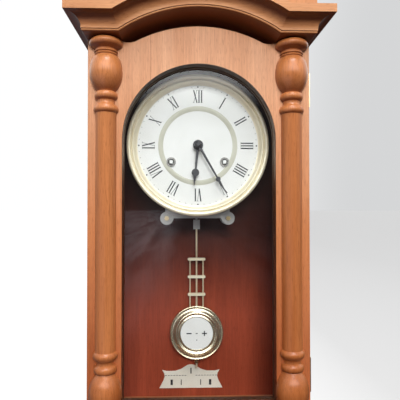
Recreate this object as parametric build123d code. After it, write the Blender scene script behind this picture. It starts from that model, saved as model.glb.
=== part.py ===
"""A pendulum wall clock with an arched hood, a glazed door and a striking movement.

Depths are counted from the wall towards the front. Heights are counted from the dial's
centre while the pieces are drawn, and save() moves each piece so that the hanger hole,
on the wall, is the origin. +Z is up, +X is to the right as the dial is read.
"""
from build123d import *
import os
from math import acos, asin, cos, degrees, hypot, pi, radians, sin, sqrt, tan

# Case
HANGER_RISE = 100.0
CASE_HALF = 128.0
SIDE_T = 12.0
BACK_T = 6.0
TOP_T = 12.0
CEILING_Z = 122.0
FLOOR_Z = -343.5
FLOOR_T = 8.5
TYMPANUM_T = 11.0
TYMPANUM_LAP = 18.0

# Hood and base
CORNICE_Z = 116.8
BASE_Z = -332.4
ARCH_HALF = 90.5
ARCH_RISE = 28.3
MOULD_H = 26.0
MOULD_OUT = 16.0
FASCIA_H = 9.0
BEAD_R = 1.5
BEAD_OVER = 4.0
BEAD_D = 126.0
COVE_FOOT = 5.0
COVE_STEP = 0.5
CREST_H = 22.0
CREST_OVER = 6.0
CREST_T = 16.0
CREST_SET = 22.0

# Door
DOOR_OVER = 2.0
DOOR_BACK = 82.0
DOOR_T = 20.0
DOOR_GAP = 0.5
DOOR_END_GAP = 0.8
DOOR_CROWN = 134.1
SCOOP_OUT = 92.0
SCOOP_IN = 75.0
SCOOP_DIP = 0.6
WINDOW_R = 90.0
WINDOW_BOTTOM = -308.0
RAIL_JOINT = 86.0
REBATE_W = 6.0
REBATE_D = 9.0
GLASS_T = 3.0
GLASS_GAP = 0.3
GLASS_BEAD_T = 5.0

# Turned half columns, radii and heights from the dial's centre
COLUMN_IN = 19.0
TORUS_R = 19.4
TORUS_NECK_R = 16.5
TORUS_H = 8.0
COLLAR_R = 12.0
COLLAR_Z = 103.0
VASE_TOP_Z = 101.0
VASE_R = 19.0
VASE_Z = 84.5
VASE_SHOULDER = (17.4, 94.0)
VASE_BELLY = (16.6, 72.0)
VASE_FOOT_R = 10.4
VASE_FOOT_Z = 60.0
FOOT_EDGE = (10.8, 58.5)
RING_R = 12.8
RING_Z = 52.5
RING_H = 3.0
RING_EDGE_R = 12.2
NECK_R = 9.8
NECK_TOP_Z = 48.0
NECK_LOW_Z = 43.5
SHAFT_RING_R = 14.3
SHAFT_RING_Z = 36.0
SHAFT_R = 12.2
SHAFT_Z = 29.0

# Hinges and catch
HINGE_Z = (60.0, -275.0)
HINGE_H = 40.0
HINGE_R = 2.2
HINGE_STAND = 0.2
HINGE_PIN_R = 1.1
HINGE_LEAF = 17.0
HINGE_LEAF_T = 1.2
HINGE_SLIT = 0.4
CATCH_Z = -120.0
MAGNET_W = 12.0
MAGNET_H = 26.0
MAGNET_D = 11.0
CATCH_T = 0.8
CATCH_GAP = 0.2

# Hanger
HANGER_HOLE_R = 4.0
HANGER_POCKET_R = 9.0
HANGER_W = 44.0
HANGER_H = 30.0
HANGER_T = 2.0
HANGER_SCREW_X = 16.0
HANGER_SCREW_R = 1.8

# Movement frame
PLATE_D = 24.0
PLATE_T = 2.0
PLATE_GAP = 22.0
PLATE_HALF = 42.0
PILLAR_X = 40.0
PILLAR_TOP = 50.0
PILLAR_LOW = -93.0
LOBE_R = 8.5
PILLAR_R = 3.0
PILLAR_SCREW_R = 1.6
NUT_R = 3.2
NUT_T = 2.2
STANDOFF_R = 5.0
TONGUE_HALF = 14.0
TONGUE_TOP = 68.0
SHAKE = 0.6
PIVOT_R = 0.8
ARBOR_R = 1.3
FIT = 0.05

# Dial and hands
DIAL_BACK_GAP = 3.1
DIAL_T = 1.0
DIAL_R = 84.0
DIAL_HOLE_R = 4.6
BEZEL_R = 90.3
BEZEL_IN_R = 77.0
BEZEL_FRONT = 7.5
BEZEL_BACK = 2.0
BEZEL_LIP = 2.0
BEZEL_STEP_R = 82.0
BEZEL_BEVEL = 2.0
BEZEL_GAP = 0.3
RING_IN_R = 46.4
RING_OUT_R = 50.6
RING_T = 0.9
DIAL_FOOT_R = 2.0
DIAL_FOOT_X = 36.0
DIAL_FOOT_Z = (44.0, -62.0)
EYELET_R = 6.0
EYELET_HOLE_R = 3.9
EYELET_SINK_R = 4.9
EYELET_T = 1.4
HOUR_HAND_GAP = 5.0
MINUTE_HAND_GAP = 3.0
HAND_T = 1.0
HOUR_LENGTH = 53.0
MINUTE_LENGTH = 75.8
HOUR_ANGLE = 185.5
MINUTE_ANGLE = 150.0
HOUR_HUB_R = 6.5
MINUTE_HUB_R = 5.0
SPADE_AT = 0.66
HAND_TAPER = 0.55
HOUR_HAND_W = 1.9
HOUR_SPADE_R = 4.8
MINUTE_HAND_W = 1.7
MINUTE_SPADE_R = 3.1
HAND_NUT_R = 4.2
HAND_NUT_H = 4.0

# Wheel work
PRESSURE = 25.0
ADDENDUM = 0.8
DEDENDUM = 1.08
BACKLASH = 0.18
FLANK_FOOT = 0.2
RIM_MODULES = 3.0
RIM_EXTRA = 1.0
ARM_TURN = 45.0
WHEEL_T = 1.5
PINION_T = 4.0
PINION_LEAD = 1.2
HUB_R = 5.0
ARM_W = 2.2
PIPE_WALL = 0.9
CANNON_T = 3.0
GREAT_IN = 2.0
SECOND_IN = 2.5
THIRD_IN = 14.0
ESCAPE_IN = 3.0
SPRING_IN = 1.5
SPRING_OUT = 0.8
WIND_X = 34.0
WIND_Z = -21.0
GREAT_M = 0.8
GREAT_TEETH = 72
GREAT_PINION = 12
SECOND_M = 0.62
SECOND_TEETH = 60
CENTRE_PINION = 12
CENTRE_M = 0.42
CENTRE_TEETH = 96
FINE_PINION = 10
THIRD_M = 0.38
THIRD_TEETH = 90
THIRD_SWING = 108.0
ESCAPE_TEETH = 38
ESCAPE_R = 14.0
ESCAPE_ROOT = 3.0
ESCAPE_LEAN = 0.3
MOTION_M = 0.6
CANNON_TEETH = 12
MINUTE_TEETH = 36
HOUR_TEETH = 40
MINUTE_PINION = 10
MOTION_SWING = -60.0
PIN_M = 0.5
PIN_TEETH = 48
PIN_SWING = 74.0
PIN_COUNT = 8
PIN_R = 0.7
PIN_CIRCLE = 10.6
PIN_PROUD = 2.0
FLY_SWING = 165.0
FLY_PINION = 10
FLY_R = 8.0
FLY_VANE_T = 1.0
WIND_ARBOR_R = 3.0
WIND_SQUARE = 4.4
RATCHET_TEETH = 16
RATCHET_R = 11.0
RATCHET_STEP = 1.6
RATCHET_LEAN = 0.3
CLICK_R = 2.5
CLICK_GAP = 0.4
CLICK_SEAT = 1.0
SQUARE_START = 4.0
SQUARE_PROUD = 0.8
SPRING_TURNS = 7
SPRING_T = 0.5
SPRING_PITCH = 2.8
SPRING_GAP = 0.3
SPRING_POST_R = 1.8

# Escapement and pendulum, heights from the dial's centre
SWING_Z = 57.0
PEND_D = 17.0
CRUTCH_D = 22.0
VERGE_SPAN = 40.0
VERGE_CLEAR = 1.4
VERGE_W = 2.4
VERGE_HUB_R = 3.0
VERGE_RISE = 3.0
CRUTCH_FOOT = 12.0
CRUTCH_R = 1.0
CRUTCH_PLAY = 0.3
COCK_HALF = 7.0
COCK_Z = 60.5
COCK_GAP = 0.2
COCK_LUG = 2.5
COCK_LUG_FRONT = 1.0
COCK_LUG_HALF = 4.0
COCK_LUG_DROP = 3.5
SUSPENSION_W = 4.0
SUSPENSION_T = 0.3
SUSPENSION_LOW = 36.0
SUSPENSION_PIN_R = 1.5
LEADER_R = 1.4
CLAMP_H = 6.0
CLAMP_HALF = 2.5
LEADER_LOW = -96.0
HOOK_H = 13.0
HOOK_W = 9.0
HOOK_T = 4.0
ROD_R = 1.25
BAR_Z = (-150.4, -174.7, -198.9)
BAR_HALF = 12.2
BAR_H = 3.6
BAR_D = 4.0
SIDE_ROD_X = 9.0
SIDE_ROD_R = 1.0
SIDE_ROD_SEAT = 9.0
BOB_Z = -251.0
BOB_R = 36.8
BOB_RIM_R = 29.0
BOB_FACE_R = 22.0
BOB_T = 14.0
BOB_RIM_T = 5.0
BOB_DISC_T = 1.0
BOB_DISH = 2.0
NUT_LOW = -300.0
RATING_R = 3.4
RATING_H = 4.0

# Gong, hammer and beat plate
GONG_X = -60.0
GONG_Z = -20.0
GONG_D = 12.0
GONG_WIRE = 1.2
GONG_STEP = 3.0
GONG_IN_R = 9.0
GONG_ARCS = 9
GONG_POST_R = 3.2
GONG_POST_H = 1.6
HAMMER_X = -36.0
HAMMER_Z = 36.0
HAMMER_HEAD_R = 4.5
HAMMER_HEAD_L = 9.0
HAMMER_GAP = 1.5
TAIL_GAP = 0.4
HAMMER_ARM_R = 1.1
BEAT_X = -7.5
BEAT_TOP = -306.6
BEAT_PEAK = 8.2
BEAT_LOW = -331.3
BEAT_TOP_HALF = 40.5
BEAT_WAIST_HALF = 37.5
BEAT_LOW_HALF = 44.5
BEAT_T = 0.8

# Sizes that follow from the ones above
CASE_IN = CASE_HALF - SIDE_T
CREST_HALF = CASE_HALF + CREST_OVER
DOOR_HALF = CASE_HALF + DOOR_OVER
COLUMN_X = DOOR_HALF - COLUMN_IN
CASE_FRONT = DOOR_BACK - DOOR_GAP
DOOR_FACE = DOOR_BACK + DOOR_T
DOOR_TOP = CORNICE_Z - DOOR_END_GAP
DOOR_LOW = BASE_Z + DOOR_END_GAP
BEAD_HALF = CASE_HALF + BEAD_OVER
BLOCK_FACE = BEAD_D - BEAD_OVER
ARCH_R = (ARCH_HALF ** 2 + ARCH_RISE ** 2) / (2 * ARCH_RISE)
ARCH_Z = CORNICE_Z + ARCH_RISE - ARCH_R
MID_Z = (CORNICE_Z + BASE_Z) / 2
FRONT_PLATE_D = PLATE_D + PLATE_T + PLATE_GAP
PLATE_FRONT = FRONT_PLATE_D + PLATE_T
INNER_D = PLATE_D + PLATE_T
GREAT_D = INNER_D + GREAT_IN
SECOND_D = GREAT_D + WHEEL_T + SECOND_IN
THIRD_D = INNER_D + THIRD_IN
CENTRE_D = FRONT_PLATE_D - SHAKE - WHEEL_T
ESCAPE_D = INNER_D + ESCAPE_IN
SPRING_D = SECOND_D + WHEEL_T + SPRING_IN
SPRING_W = CENTRE_D - SPRING_OUT - SPRING_D
HINGE_X = DOOR_HALF + HINGE_R + HINGE_STAND
HINGE_D = DOOR_BACK - DOOR_GAP / 2
SPRING_IN_R = WIND_ARBOR_R + SPRING_GAP
CANNON_R = ARBOR_R + FIT + PIPE_WALL
HOUR_PIPE_R = CANNON_R + FIT + PIPE_WALL
CANNON_D = PLATE_FRONT + SHAKE
HOUR_D = CANNON_D + CANNON_T + 2 * SHAKE
DIAL_D = HOUR_D + WHEEL_T + SHAKE + DIAL_BACK_GAP
HOUR_HAND_D = DIAL_D + DIAL_T + HOUR_HAND_GAP
MINUTE_HAND_D = HOUR_HAND_D + HAND_T + MINUTE_HAND_GAP
HOUR_M = MOTION_M * (CANNON_TEETH + MINUTE_TEETH) / (HOUR_TEETH + MINUTE_PINION)
FLY_D = THIRD_D + WHEEL_T + SHAKE


def rect(x0, x1, z0, z1):
    """A rectangle in x and z between its sides."""
    return Pos((x0 + x1) / 2, (z0 + z1) / 2) * Rectangle(x1 - x0, z1 - z0)


def disc(x, z, r):
    """A circle in x and z."""
    return Pos(x, z) * Circle(r)


def slab(sketch, near, far):
    """A sketch in x and z, made solid from one depth to another."""
    return extrude(Plane.XZ.offset(near) * sketch, far - near)


def block(x0, x1, near, far, z0, z1):
    """A box between its sides."""
    return slab(rect(x0, x1, z0, z1), near, far)


def rod(x, z, r, near, far):
    """A round bar that runs front to back."""
    return slab(disc(x, z, r), near, far)


def upright(x, depth, r, low, high):
    """A round bar that stands up."""
    return extrude(Plane((x, -depth, low)) * Circle(r), high - low)


def strip(a, b, width):
    """A straight round-ended strip in x and z from a to b."""
    middle = ((a[0] + b[0]) / 2, (a[1] + b[1]) / 2)
    length = hypot(b[0] - a[0], b[1] - a[1])
    turn = degrees(acos((b[0] - a[0]) / length)) * (1 if b[1] >= a[1] else -1)
    return Pos(*middle) * Rot(0, 0, turn) * SlotCenterToCenter(length, width)


def turned(outline, x, z):
    """A closed outline of (radius, depth) points, turned about a front-to-back axis."""
    face = make_face(Polyline(*[(r, -d) for r, d in outline], close=True))
    return revolve(Pos(x, 0, z) * face, axis=Axis((x, 0, z), (0, 1, 0)))


def both_sides(piece):
    """A piece and its mirror image across the middle of the clock."""
    return [piece, mirror(piece, about=Plane.YZ)]


def polar(centre, distance, angle):
    """The point at a distance and an angle from a centre."""
    return (centre[0] + distance * cos(radians(angle)), centre[1] + distance * sin(radians(angle)))


def save(name, *pieces):
    """Write one node, moved so that the hanger hole is the origin."""
    solids = [s for piece in pieces for s in piece.solids()]
    moved = [Pos(0, 0, -HANGER_RISE) * s for s in solids]
    export_step(moved[0] if len(moved) == 1 else Compound(moved), f"parts/{name}.step")


def gear_face(teeth, module, turn=0.0):
    """An involute gear outline, with its first tooth at the given angle."""
    pitch = module * teeth / 2
    base = pitch * cos(radians(PRESSURE))
    root = pitch - DEDENDUM * module
    tip = pitch + ADDENDUM * module
    half_at_pitch = (pi * module / 2 - BACKLASH) / 2 / pitch

    def half_angle(radius):
        slope = acos(min(1.0, base / radius))
        at_pitch = radians(PRESSURE)
        return half_at_pitch + (tan(at_pitch) - at_pitch) - (tan(slope) - slope)

    flank = [root, max(base, root + module * FLANK_FOOT), pitch, tip]
    points = []
    for tooth in range(teeth):
        middle = radians(turn) + 2 * pi * tooth / teeth
        for side, radii in ((-1, flank), (1, flank[::-1])):
            for radius in radii:
                angle = middle + side * half_angle(max(radius, base))
                points.append((radius * cos(angle), radius * sin(angle)))
    return make_face(Polyline(*points, close=True))


def crossed_gear(teeth, module, hub, bore, turn=0.0, arms=4):
    """A gear outline with a bored hub, arms and a rim."""
    rim = module * teeth / 2 - RIM_MODULES * module - RIM_EXTRA
    windows = Circle(rim) - Circle(hub)
    for arm in range(arms):
        windows -= Rot(0, 0, 360 / arms * arm + ARM_TURN) * Pos(rim / 2, 0) * Rectangle(rim + hub, ARM_W)
    return gear_face(teeth, module, turn) - windows - Circle(bore)


def mesh_turn(driver_teeth, driver_turn, teeth, bearing):
    """The turn that sets a tooth gap of one gear on a tooth of its driver.

    The bearing is the direction from the driver's centre to this gear's centre.
    """
    driver_step = 360 / driver_teeth
    step = 360 / teeth
    lead = ((bearing - driver_turn) % driver_step) / driver_step
    return bearing + 180 + step * (lead + 0.5)


def moulding_face():
    """The hood moulding's section: x runs out from the bead's front, y up from its foot."""
    cove = MOULD_H - FASCIA_H - COVE_FOOT
    bead_top = 2 * BEAD_R
    chord = cove * (1 - sqrt(0.5))
    outline = ThreePointArc((-BEAD_R, 0), (0, BEAD_R), (-BEAD_R, bead_top))
    outline += Polyline((-BEAD_R, bead_top), (COVE_STEP, bead_top), (COVE_STEP, COVE_FOOT))
    outline += ThreePointArc(
        (COVE_STEP, COVE_FOOT),
        (COVE_STEP + chord, COVE_FOOT + cove - chord),
        (COVE_STEP + cove, COVE_FOOT + cove),
    )
    outline += Polyline(
        (COVE_STEP + cove, COVE_FOOT + cove),
        (MOULD_OUT, COVE_FOOT + cove),
        (MOULD_OUT, MOULD_H),
        (-BEAD_OVER, MOULD_H),
        (-BEAD_OVER, 0),
        (-BEAD_R, 0),
    )
    return make_face(outline)


ARCH_LEAN = tan(asin(ARCH_HALF / ARCH_R) / 2)
REACH = 3 * CASE_HALF
WEDGE_FOOT = CORNICE_Z - ARCH_HALF / ARCH_LEAN
WEDGE = make_face(
    Polyline(
        (-ARCH_LEAN * (ARCH_Z - WEDGE_FOOT), ARCH_Z),
        (ARCH_LEAN * (ARCH_Z - WEDGE_FOOT), ARCH_Z),
        (ARCH_LEAN * (REACH - WEDGE_FOOT), REACH),
        (-ARCH_LEAN * (REACH - WEDGE_FOOT), REACH),
        close=True,
    )
)


def hood_band(low, high, half):
    """The hood's bent band between two offsets from the cornice line, in x and z."""
    ring = Pos(0, ARCH_Z) * (Circle(ARCH_R + high) - Circle(ARCH_R + low))
    straight = rect(-half, half, CORNICE_Z + low, CORNICE_Z + high)
    return (ring & WEDGE) + (straight - WEDGE)


def mitre_block():
    """The space in front of the hood's two corner mitres."""
    outline = Polyline(
        (BEAD_HALF - BEAD_D, 0),
        (BEAD_HALF - BEAD_D + REACH, -REACH),
        (BEAD_D - BEAD_HALF - REACH, -REACH),
        (BEAD_D - BEAD_HALF, 0),
        close=True,
    )
    return extrude(Plane.XY.offset(-REACH) * make_face(outline), 2 * REACH)


def front_run():
    """A straight length of hood moulding across the front, between its corner mitres."""
    plane = Plane((REACH / 2, -BEAD_D, CORNICE_Z), x_dir=(0, -1, 0), z_dir=(-1, 0, 0))
    return extrude(plane * moulding_face(), REACH) & mitre_block()


def side_run():
    """The right-hand return of hood moulding, from the wall to its corner mitre."""
    plane = Plane((BEAD_HALF, 0, CORNICE_Z), x_dir=(1, 0, 0), z_dir=(0, -1, 0))
    return extrude(plane * moulding_face(), BEAD_D + MOULD_OUT) - mitre_block()


def arch_run():
    """The arched length of hood moulding, mitred to the straight shoulders."""
    plane = Plane((0, -BEAD_D, ARCH_Z + ARCH_R), x_dir=(0, -1, 0), z_dir=(-1, 0, 0))
    ring = revolve(plane * moulding_face(), axis=Axis((0, 0, ARCH_Z), (0, 1, 0)))
    return ring & slab(WEDGE, 0, REACH)


def make_case():
    """Boards, hood, base and hanger."""
    top = CORNICE_Z + MOULD_H
    low = BASE_Z - MOULD_H
    pocket = rod(0, HANGER_RISE, HANGER_POCKET_R, 0, BACK_T)
    plate_seat = block(
        -HANGER_W / 2, HANGER_W / 2, 0, HANGER_T,
        HANGER_RISE - HANGER_H / 2, HANGER_RISE + HANGER_H / 2,
    )
    screw_holes = both_sides(rod(HANGER_SCREW_X, HANGER_RISE, HANGER_SCREW_R, 0, BACK_T))
    board = block(-CASE_IN, CASE_IN, 0, BACK_T, low, top) - pocket - plate_seat
    plate = plate_seat - rod(0, HANGER_RISE, HANGER_HOLE_R, 0, HANGER_T)
    for hole in screw_holes:
        board -= hole
        plate -= hole
    save("back_board", board)
    save("hanger_plate", plate, *screw_holes)

    side = block(CASE_IN, CASE_HALF, 0, CASE_FRONT, low, top)
    save("side_panels", *both_sides(side))
    save("floor_board", block(-CASE_IN, CASE_IN, BACK_T, CASE_FRONT, FLOOR_Z - FLOOR_T, FLOOR_Z))
    tympanum_back = CASE_FRONT - TYMPANUM_T
    ceiling = block(-CASE_IN, CASE_IN, BACK_T, tympanum_back, CEILING_Z, CEILING_Z + TOP_T)
    save("top_board", ceiling)
    tympanum = hood_band(-TYMPANUM_LAP, MOULD_H, CASE_IN)
    save("tympanum_board", slab(tympanum, tympanum_back, CASE_FRONT))
    save("pediment_block", slab(hood_band(0, MOULD_H, CASE_HALF), CASE_FRONT, BLOCK_FACE))
    crest_front = BEAD_D + MOULD_OUT - CREST_SET
    crest = slab(hood_band(MOULD_H, MOULD_H + CREST_H, CREST_HALF), crest_front - CREST_T, crest_front)
    save("crest_board", crest)

    shoulder = front_run() - slab(WEDGE, 0, REACH)
    right_return = side_run()
    save("cornice_arch_moulding", arch_run())
    save("cornice_straight_mouldings", shoulder, *both_sides(right_return))
    base_plane = Plane.XY.offset(MID_Z)
    base_runs = [front_run()] + both_sides(right_return)
    save("base_mouldings", *[mirror(run, about=base_plane) for run in base_runs])
    save("base_block", block(-CASE_HALF, CASE_HALF, CASE_FRONT, BLOCK_FACE, low, BASE_Z))


def window_face(extra):
    """The arched window's outline, grown by a margin."""
    radius = WINDOW_R + extra
    return Circle(radius) + rect(-radius, radius, WINDOW_BOTTOM - extra, 0)


def door_face():
    """The door's outline, with its low arch and scooped shoulders."""
    scoop_z = DOOR_TOP - SCOOP_DIP
    middle = ((SCOOP_OUT + SCOOP_IN) / 2, DOOR_TOP - 3 * SCOOP_DIP)
    right = Polyline((DOOR_HALF, DOOR_LOW), (DOOR_HALF, DOOR_TOP), (SCOOP_OUT, DOOR_TOP))
    right += ThreePointArc((SCOOP_OUT, DOOR_TOP), middle, (SCOOP_IN, scoop_z))
    outline = right + mirror(right, about=Plane.YZ)
    outline += ThreePointArc((SCOOP_IN, scoop_z), (0, DOOR_CROWN), (-SCOOP_IN, scoop_z))
    outline += Line((DOOR_HALF, DOOR_LOW), (-DOOR_HALF, DOOR_LOW))
    return make_face(outline)


def column():
    """A turned half column with a flat back, on the right-hand stile."""
    top = DOOR_TOP
    torus_z = top - TORUS_H
    outline = Polyline((0, MID_Z), (0, top), (TORUS_NECK_R, top))
    outline += ThreePointArc((TORUS_NECK_R, top), (TORUS_R, top - TORUS_H / 2), (TORUS_NECK_R, torus_z))
    hollow = ((TORUS_NECK_R + 2 * COLLAR_R) / 3, (2 * torus_z + COLLAR_Z) / 3)
    outline += ThreePointArc((TORUS_NECK_R, torus_z), hollow, (COLLAR_R, COLLAR_Z))
    outline += Line((COLLAR_R, COLLAR_Z), (COLLAR_R, VASE_TOP_Z))
    outline += ThreePointArc((COLLAR_R, VASE_TOP_Z), VASE_SHOULDER, (VASE_R, VASE_Z))
    outline += ThreePointArc((VASE_R, VASE_Z), VASE_BELLY, (VASE_FOOT_R, VASE_FOOT_Z))
    ring_top = RING_Z + RING_H / 2
    ring_low = RING_Z - RING_H / 2
    outline += Polyline((VASE_FOOT_R, VASE_FOOT_Z), FOOT_EDGE, (RING_EDGE_R, ring_top))
    outline += ThreePointArc((RING_EDGE_R, ring_top), (RING_R, RING_Z), (RING_EDGE_R, ring_low))
    outline += Polyline((RING_EDGE_R, ring_low), (NECK_R, NECK_TOP_Z), (NECK_R, NECK_LOW_Z))
    outline += ThreePointArc((NECK_R, NECK_LOW_Z), (SHAFT_RING_R, SHAFT_RING_Z), (SHAFT_R, SHAFT_Z))
    outline += Polyline((SHAFT_R, SHAFT_Z), (SHAFT_R, MID_Z), (0, MID_Z))
    face = Plane((COLUMN_X, -DOOR_FACE, 0), x_dir=(1, 0, 0), z_dir=(0, -1, 0)) * make_face(outline)
    upper = revolve(face, axis=Axis((COLUMN_X, -DOOR_FACE, 0), (0, 0, -1)), revolution_arc=180)
    return upper + mirror(upper, about=Plane.XY.offset(MID_Z))


def make_door():
    """The glazed door with its columns, glass, beads and catch plate."""
    rebate = DOOR_BACK + REBATE_D
    frame = slab(door_face() - window_face(0), rebate, DOOR_FACE)
    frame += slab(door_face() - window_face(REBATE_W), DOOR_BACK, rebate)
    low = DOOR_LOW
    arch_zone = rect(-RAIL_JOINT, RAIL_JOINT, 0, DOOR_CROWN)
    low_zone = rect(-WINDOW_R, WINDOW_R, low, (low + WINDOW_BOTTOM) / 2 + WINDOW_R)
    arch_cut = slab(arch_zone, DOOR_BACK, DOOR_FACE)
    low_cut = slab(low_zone, DOOR_BACK, DOOR_FACE)
    save("door_arch_rail", frame & arch_cut)
    save("door_bottom_rail", frame & low_cut)
    save("door_stiles", frame - arch_cut - low_cut)
    save("door_columns", *both_sides(column()))

    pane = window_face(REBATE_W - GLASS_GAP)
    save("door_glass", slab(pane, rebate - GLASS_T, rebate))
    bead_front = rebate - GLASS_T
    bead = slab(pane - window_face(0), bead_front - GLASS_BEAD_T, bead_front)
    save("glass_beads", bead)

    plate_x = CASE_IN - MAGNET_W
    plate = block(
        -CASE_IN + GLASS_GAP, -plate_x, DOOR_BACK - CATCH_T, DOOR_BACK,
        CATCH_Z - MAGNET_H / 2, CATCH_Z + MAGNET_H / 2,
    )
    save("catch_plate", plate)
    magnet_face = DOOR_BACK - CATCH_T - CATCH_GAP
    magnet = block(
        -CASE_IN, -plate_x, magnet_face - MAGNET_D, magnet_face,
        CATCH_Z - MAGNET_H / 2, CATCH_Z + MAGNET_H / 2,
    )
    save("door_magnet", magnet)


def make_hinges():
    """Two three-knuckle hinges on the right-hand side."""
    case_side = []
    door_side = []
    third = HINGE_H / 3
    for middle in HINGE_Z:
        low = middle - HINGE_H / 2
        high = middle + HINGE_H / 2
        pin = upright(HINGE_X, HINGE_D, HINGE_PIN_R, low, high)
        bore = upright(HINGE_X, HINGE_D, HINGE_PIN_R + FIT, low, high)
        knuckle = upright(HINGE_X, HINGE_D, HINGE_R, low, high)
        inner = low + third
        outer = high - third
        back = HINGE_D - HINGE_R
        front = HINGE_D + HINGE_R
        middle_band = block(0, REACH, 0, REACH, inner - HINGE_SLIT, outer + HINGE_SLIT)
        case_web = block(CASE_HALF, HINGE_X, back, back + HINGE_LEAF_T, low, high)
        door_web = block(DOOR_HALF, HINGE_X, front - HINGE_LEAF_T, front, inner, outer)
        case_leaf = block(CASE_HALF, CASE_HALF + HINGE_LEAF_T, back - HINGE_LEAF, back, low, high)
        door_leaf = block(DOOR_HALF, DOOR_HALF + HINGE_LEAF_T, front, front + HINGE_LEAF, low, high)
        case_side.append(case_leaf + ((knuckle + case_web) - middle_band) + pin)
        door_barrel = block(0, REACH, 0, REACH, inner, outer) & knuckle
        door_side.append(door_leaf + ((door_barrel + door_web) - bore))
    save("hinge_case_leaves", *case_side)
    save("hinge_door_leaves", *door_side)


def bearing(a, b):
    """The direction from a to b, in degrees."""
    angle = degrees(acos((b[0] - a[0]) / hypot(b[0] - a[0], b[1] - a[1])))
    return angle if b[1] >= a[1] else -angle


# Arbor places, in x and z
CENTRE = (0.0, 0.0)
TIME_WIND = (WIND_X, WIND_Z)
STRIKE_WIND = (-WIND_X, WIND_Z)
WINDERS = (TIME_WIND, STRIKE_WIND)
GREAT_REACH = GREAT_M * (GREAT_TEETH + GREAT_PINION) / 2
SECOND_REACH = SECOND_M * (SECOND_TEETH + CENTRE_PINION) / 2
WIND_SPAN = hypot(WIND_X, WIND_Z)
ALONG = (GREAT_REACH ** 2 - SECOND_REACH ** 2 + WIND_SPAN ** 2) / (2 * WIND_SPAN)
ASIDE = sqrt(GREAT_REACH ** 2 - ALONG ** 2)
SECOND = (
    WIND_X - WIND_X / WIND_SPAN * ALONG - WIND_Z / WIND_SPAN * ASIDE,
    WIND_Z - WIND_Z / WIND_SPAN * ALONG + WIND_X / WIND_SPAN * ASIDE,
)
THIRD = polar(CENTRE, CENTRE_M * (CENTRE_TEETH + FINE_PINION) / 2, THIRD_SWING)
THIRD_REACH = THIRD_M * (THIRD_TEETH + FINE_PINION) / 2
ESCAPE = (0.0, THIRD[1] + sqrt(THIRD_REACH ** 2 - THIRD[0] ** 2))
MINUTE_WORK = polar(CENTRE, MOTION_M * (CANNON_TEETH + MINUTE_TEETH) / 2, MOTION_SWING)
PIN_WHEEL = polar(STRIKE_WIND, GREAT_REACH, PIN_SWING)
FLY = polar(PIN_WHEEL, PIN_M * (PIN_TEETH + FLY_PINION) / 2, FLY_SWING)
SWING = (0.0, SWING_Z)
HAMMER = (HAMMER_X, HAMMER_Z)


def plate_face(pivots, bores):
    """A movement plate's outline, with lobes at its pillars, pivot holes and larger bores."""
    face = rect(-PLATE_HALF, PLATE_HALF, PILLAR_LOW, PILLAR_TOP)
    face += rect(-TONGUE_HALF, TONGUE_HALF, PILLAR_TOP, TONGUE_TOP)
    for x in (-PILLAR_X, PILLAR_X):
        for z in (PILLAR_LOW, PILLAR_TOP):
            face += disc(x, z, LOBE_R)
            face -= disc(x, z, PILLAR_SCREW_R)
    for place in pivots:
        face -= disc(*place, PIVOT_R + FIT)
    for place, radius in bores:
        face -= disc(*place, radius + FIT)
    return face


def arbor(place):
    """A plain arbor between the plates with a pivot in each."""
    body = rod(*place, ARBOR_R, INNER_D + SHAKE, FRONT_PLATE_D - SHAKE)
    return body + rod(*place, PIVOT_R, PLATE_D, PLATE_FRONT)


def make_movement_frame():
    """Plates, pillars with nuts, spring posts, standoffs and the suspension cock."""
    train = [SECOND, THIRD, ESCAPE, PIN_WHEEL, FLY]
    back = plate_face(train + [CENTRE] + list(WINDERS), [(SWING, ARBOR_R), (HAMMER, ARBOR_R)])
    front_bores = [(CENTRE, ARBOR_R)] + [(place, WIND_ARBOR_R) for place in WINDERS]
    front = plate_face(train + [SWING, HAMMER], front_bores)
    save("movement_back_plate", slab(back, PLATE_D, INNER_D))
    stud = rod(*MINUTE_WORK, ARBOR_R, PLATE_FRONT, DIAL_D - SHAKE)
    save("movement_front_plate", slab(front, FRONT_PLATE_D, PLATE_FRONT) + stud)

    pillars = []
    standoffs = []
    for x in (-PILLAR_X, PILLAR_X):
        for z in (PILLAR_LOW, PILLAR_TOP):
            pillar = rod(x, z, PILLAR_R, INNER_D, FRONT_PLATE_D)
            pillars.append(pillar + rod(x, z, PILLAR_SCREW_R, PLATE_D, PLATE_FRONT + NUT_T))
            nut_face = Pos(x, z) * (RegularPolygon(NUT_R, 6) - Circle(PILLAR_SCREW_R))
            pillars.append(slab(nut_face, PLATE_FRONT, PLATE_FRONT + NUT_T))
            standoffs.append(rod(x, z, STANDOFF_R, BACK_T, PLATE_D))
    last = SPRING_IN_R + (2 * SPRING_TURNS - 1) * SPRING_PITCH / 2
    post_z = WIND_Z - SPRING_PITCH / 2 - last - SPRING_T - SPRING_GAP - SPRING_POST_R
    post = rod(WIND_X, post_z, SPRING_POST_R, SPRING_D, FRONT_PLATE_D)
    save("plate_pillars", *pillars, *both_sides(post))
    save("movement_standoffs", *standoffs)

    rear = PEND_D - SUSPENSION_W / 2 - COCK_GAP
    fore = PEND_D + SUSPENSION_W / 2 + COCK_GAP
    cock = block(-COCK_HALF, COCK_HALF, rear - COCK_LUG, PLATE_D, COCK_Z, TONGUE_TOP)
    lug_low = SWING_Z - COCK_LUG_DROP
    for near, far in ((rear - COCK_LUG, rear), (fore, fore + COCK_LUG_FRONT)):
        cock += block(-COCK_LUG_HALF, COCK_LUG_HALF, near, far, lug_low, COCK_Z)
    cock -= rod(*SWING, SUSPENSION_PIN_R + FIT, 0, PLATE_D)
    save("suspension_cock", cock)


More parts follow.
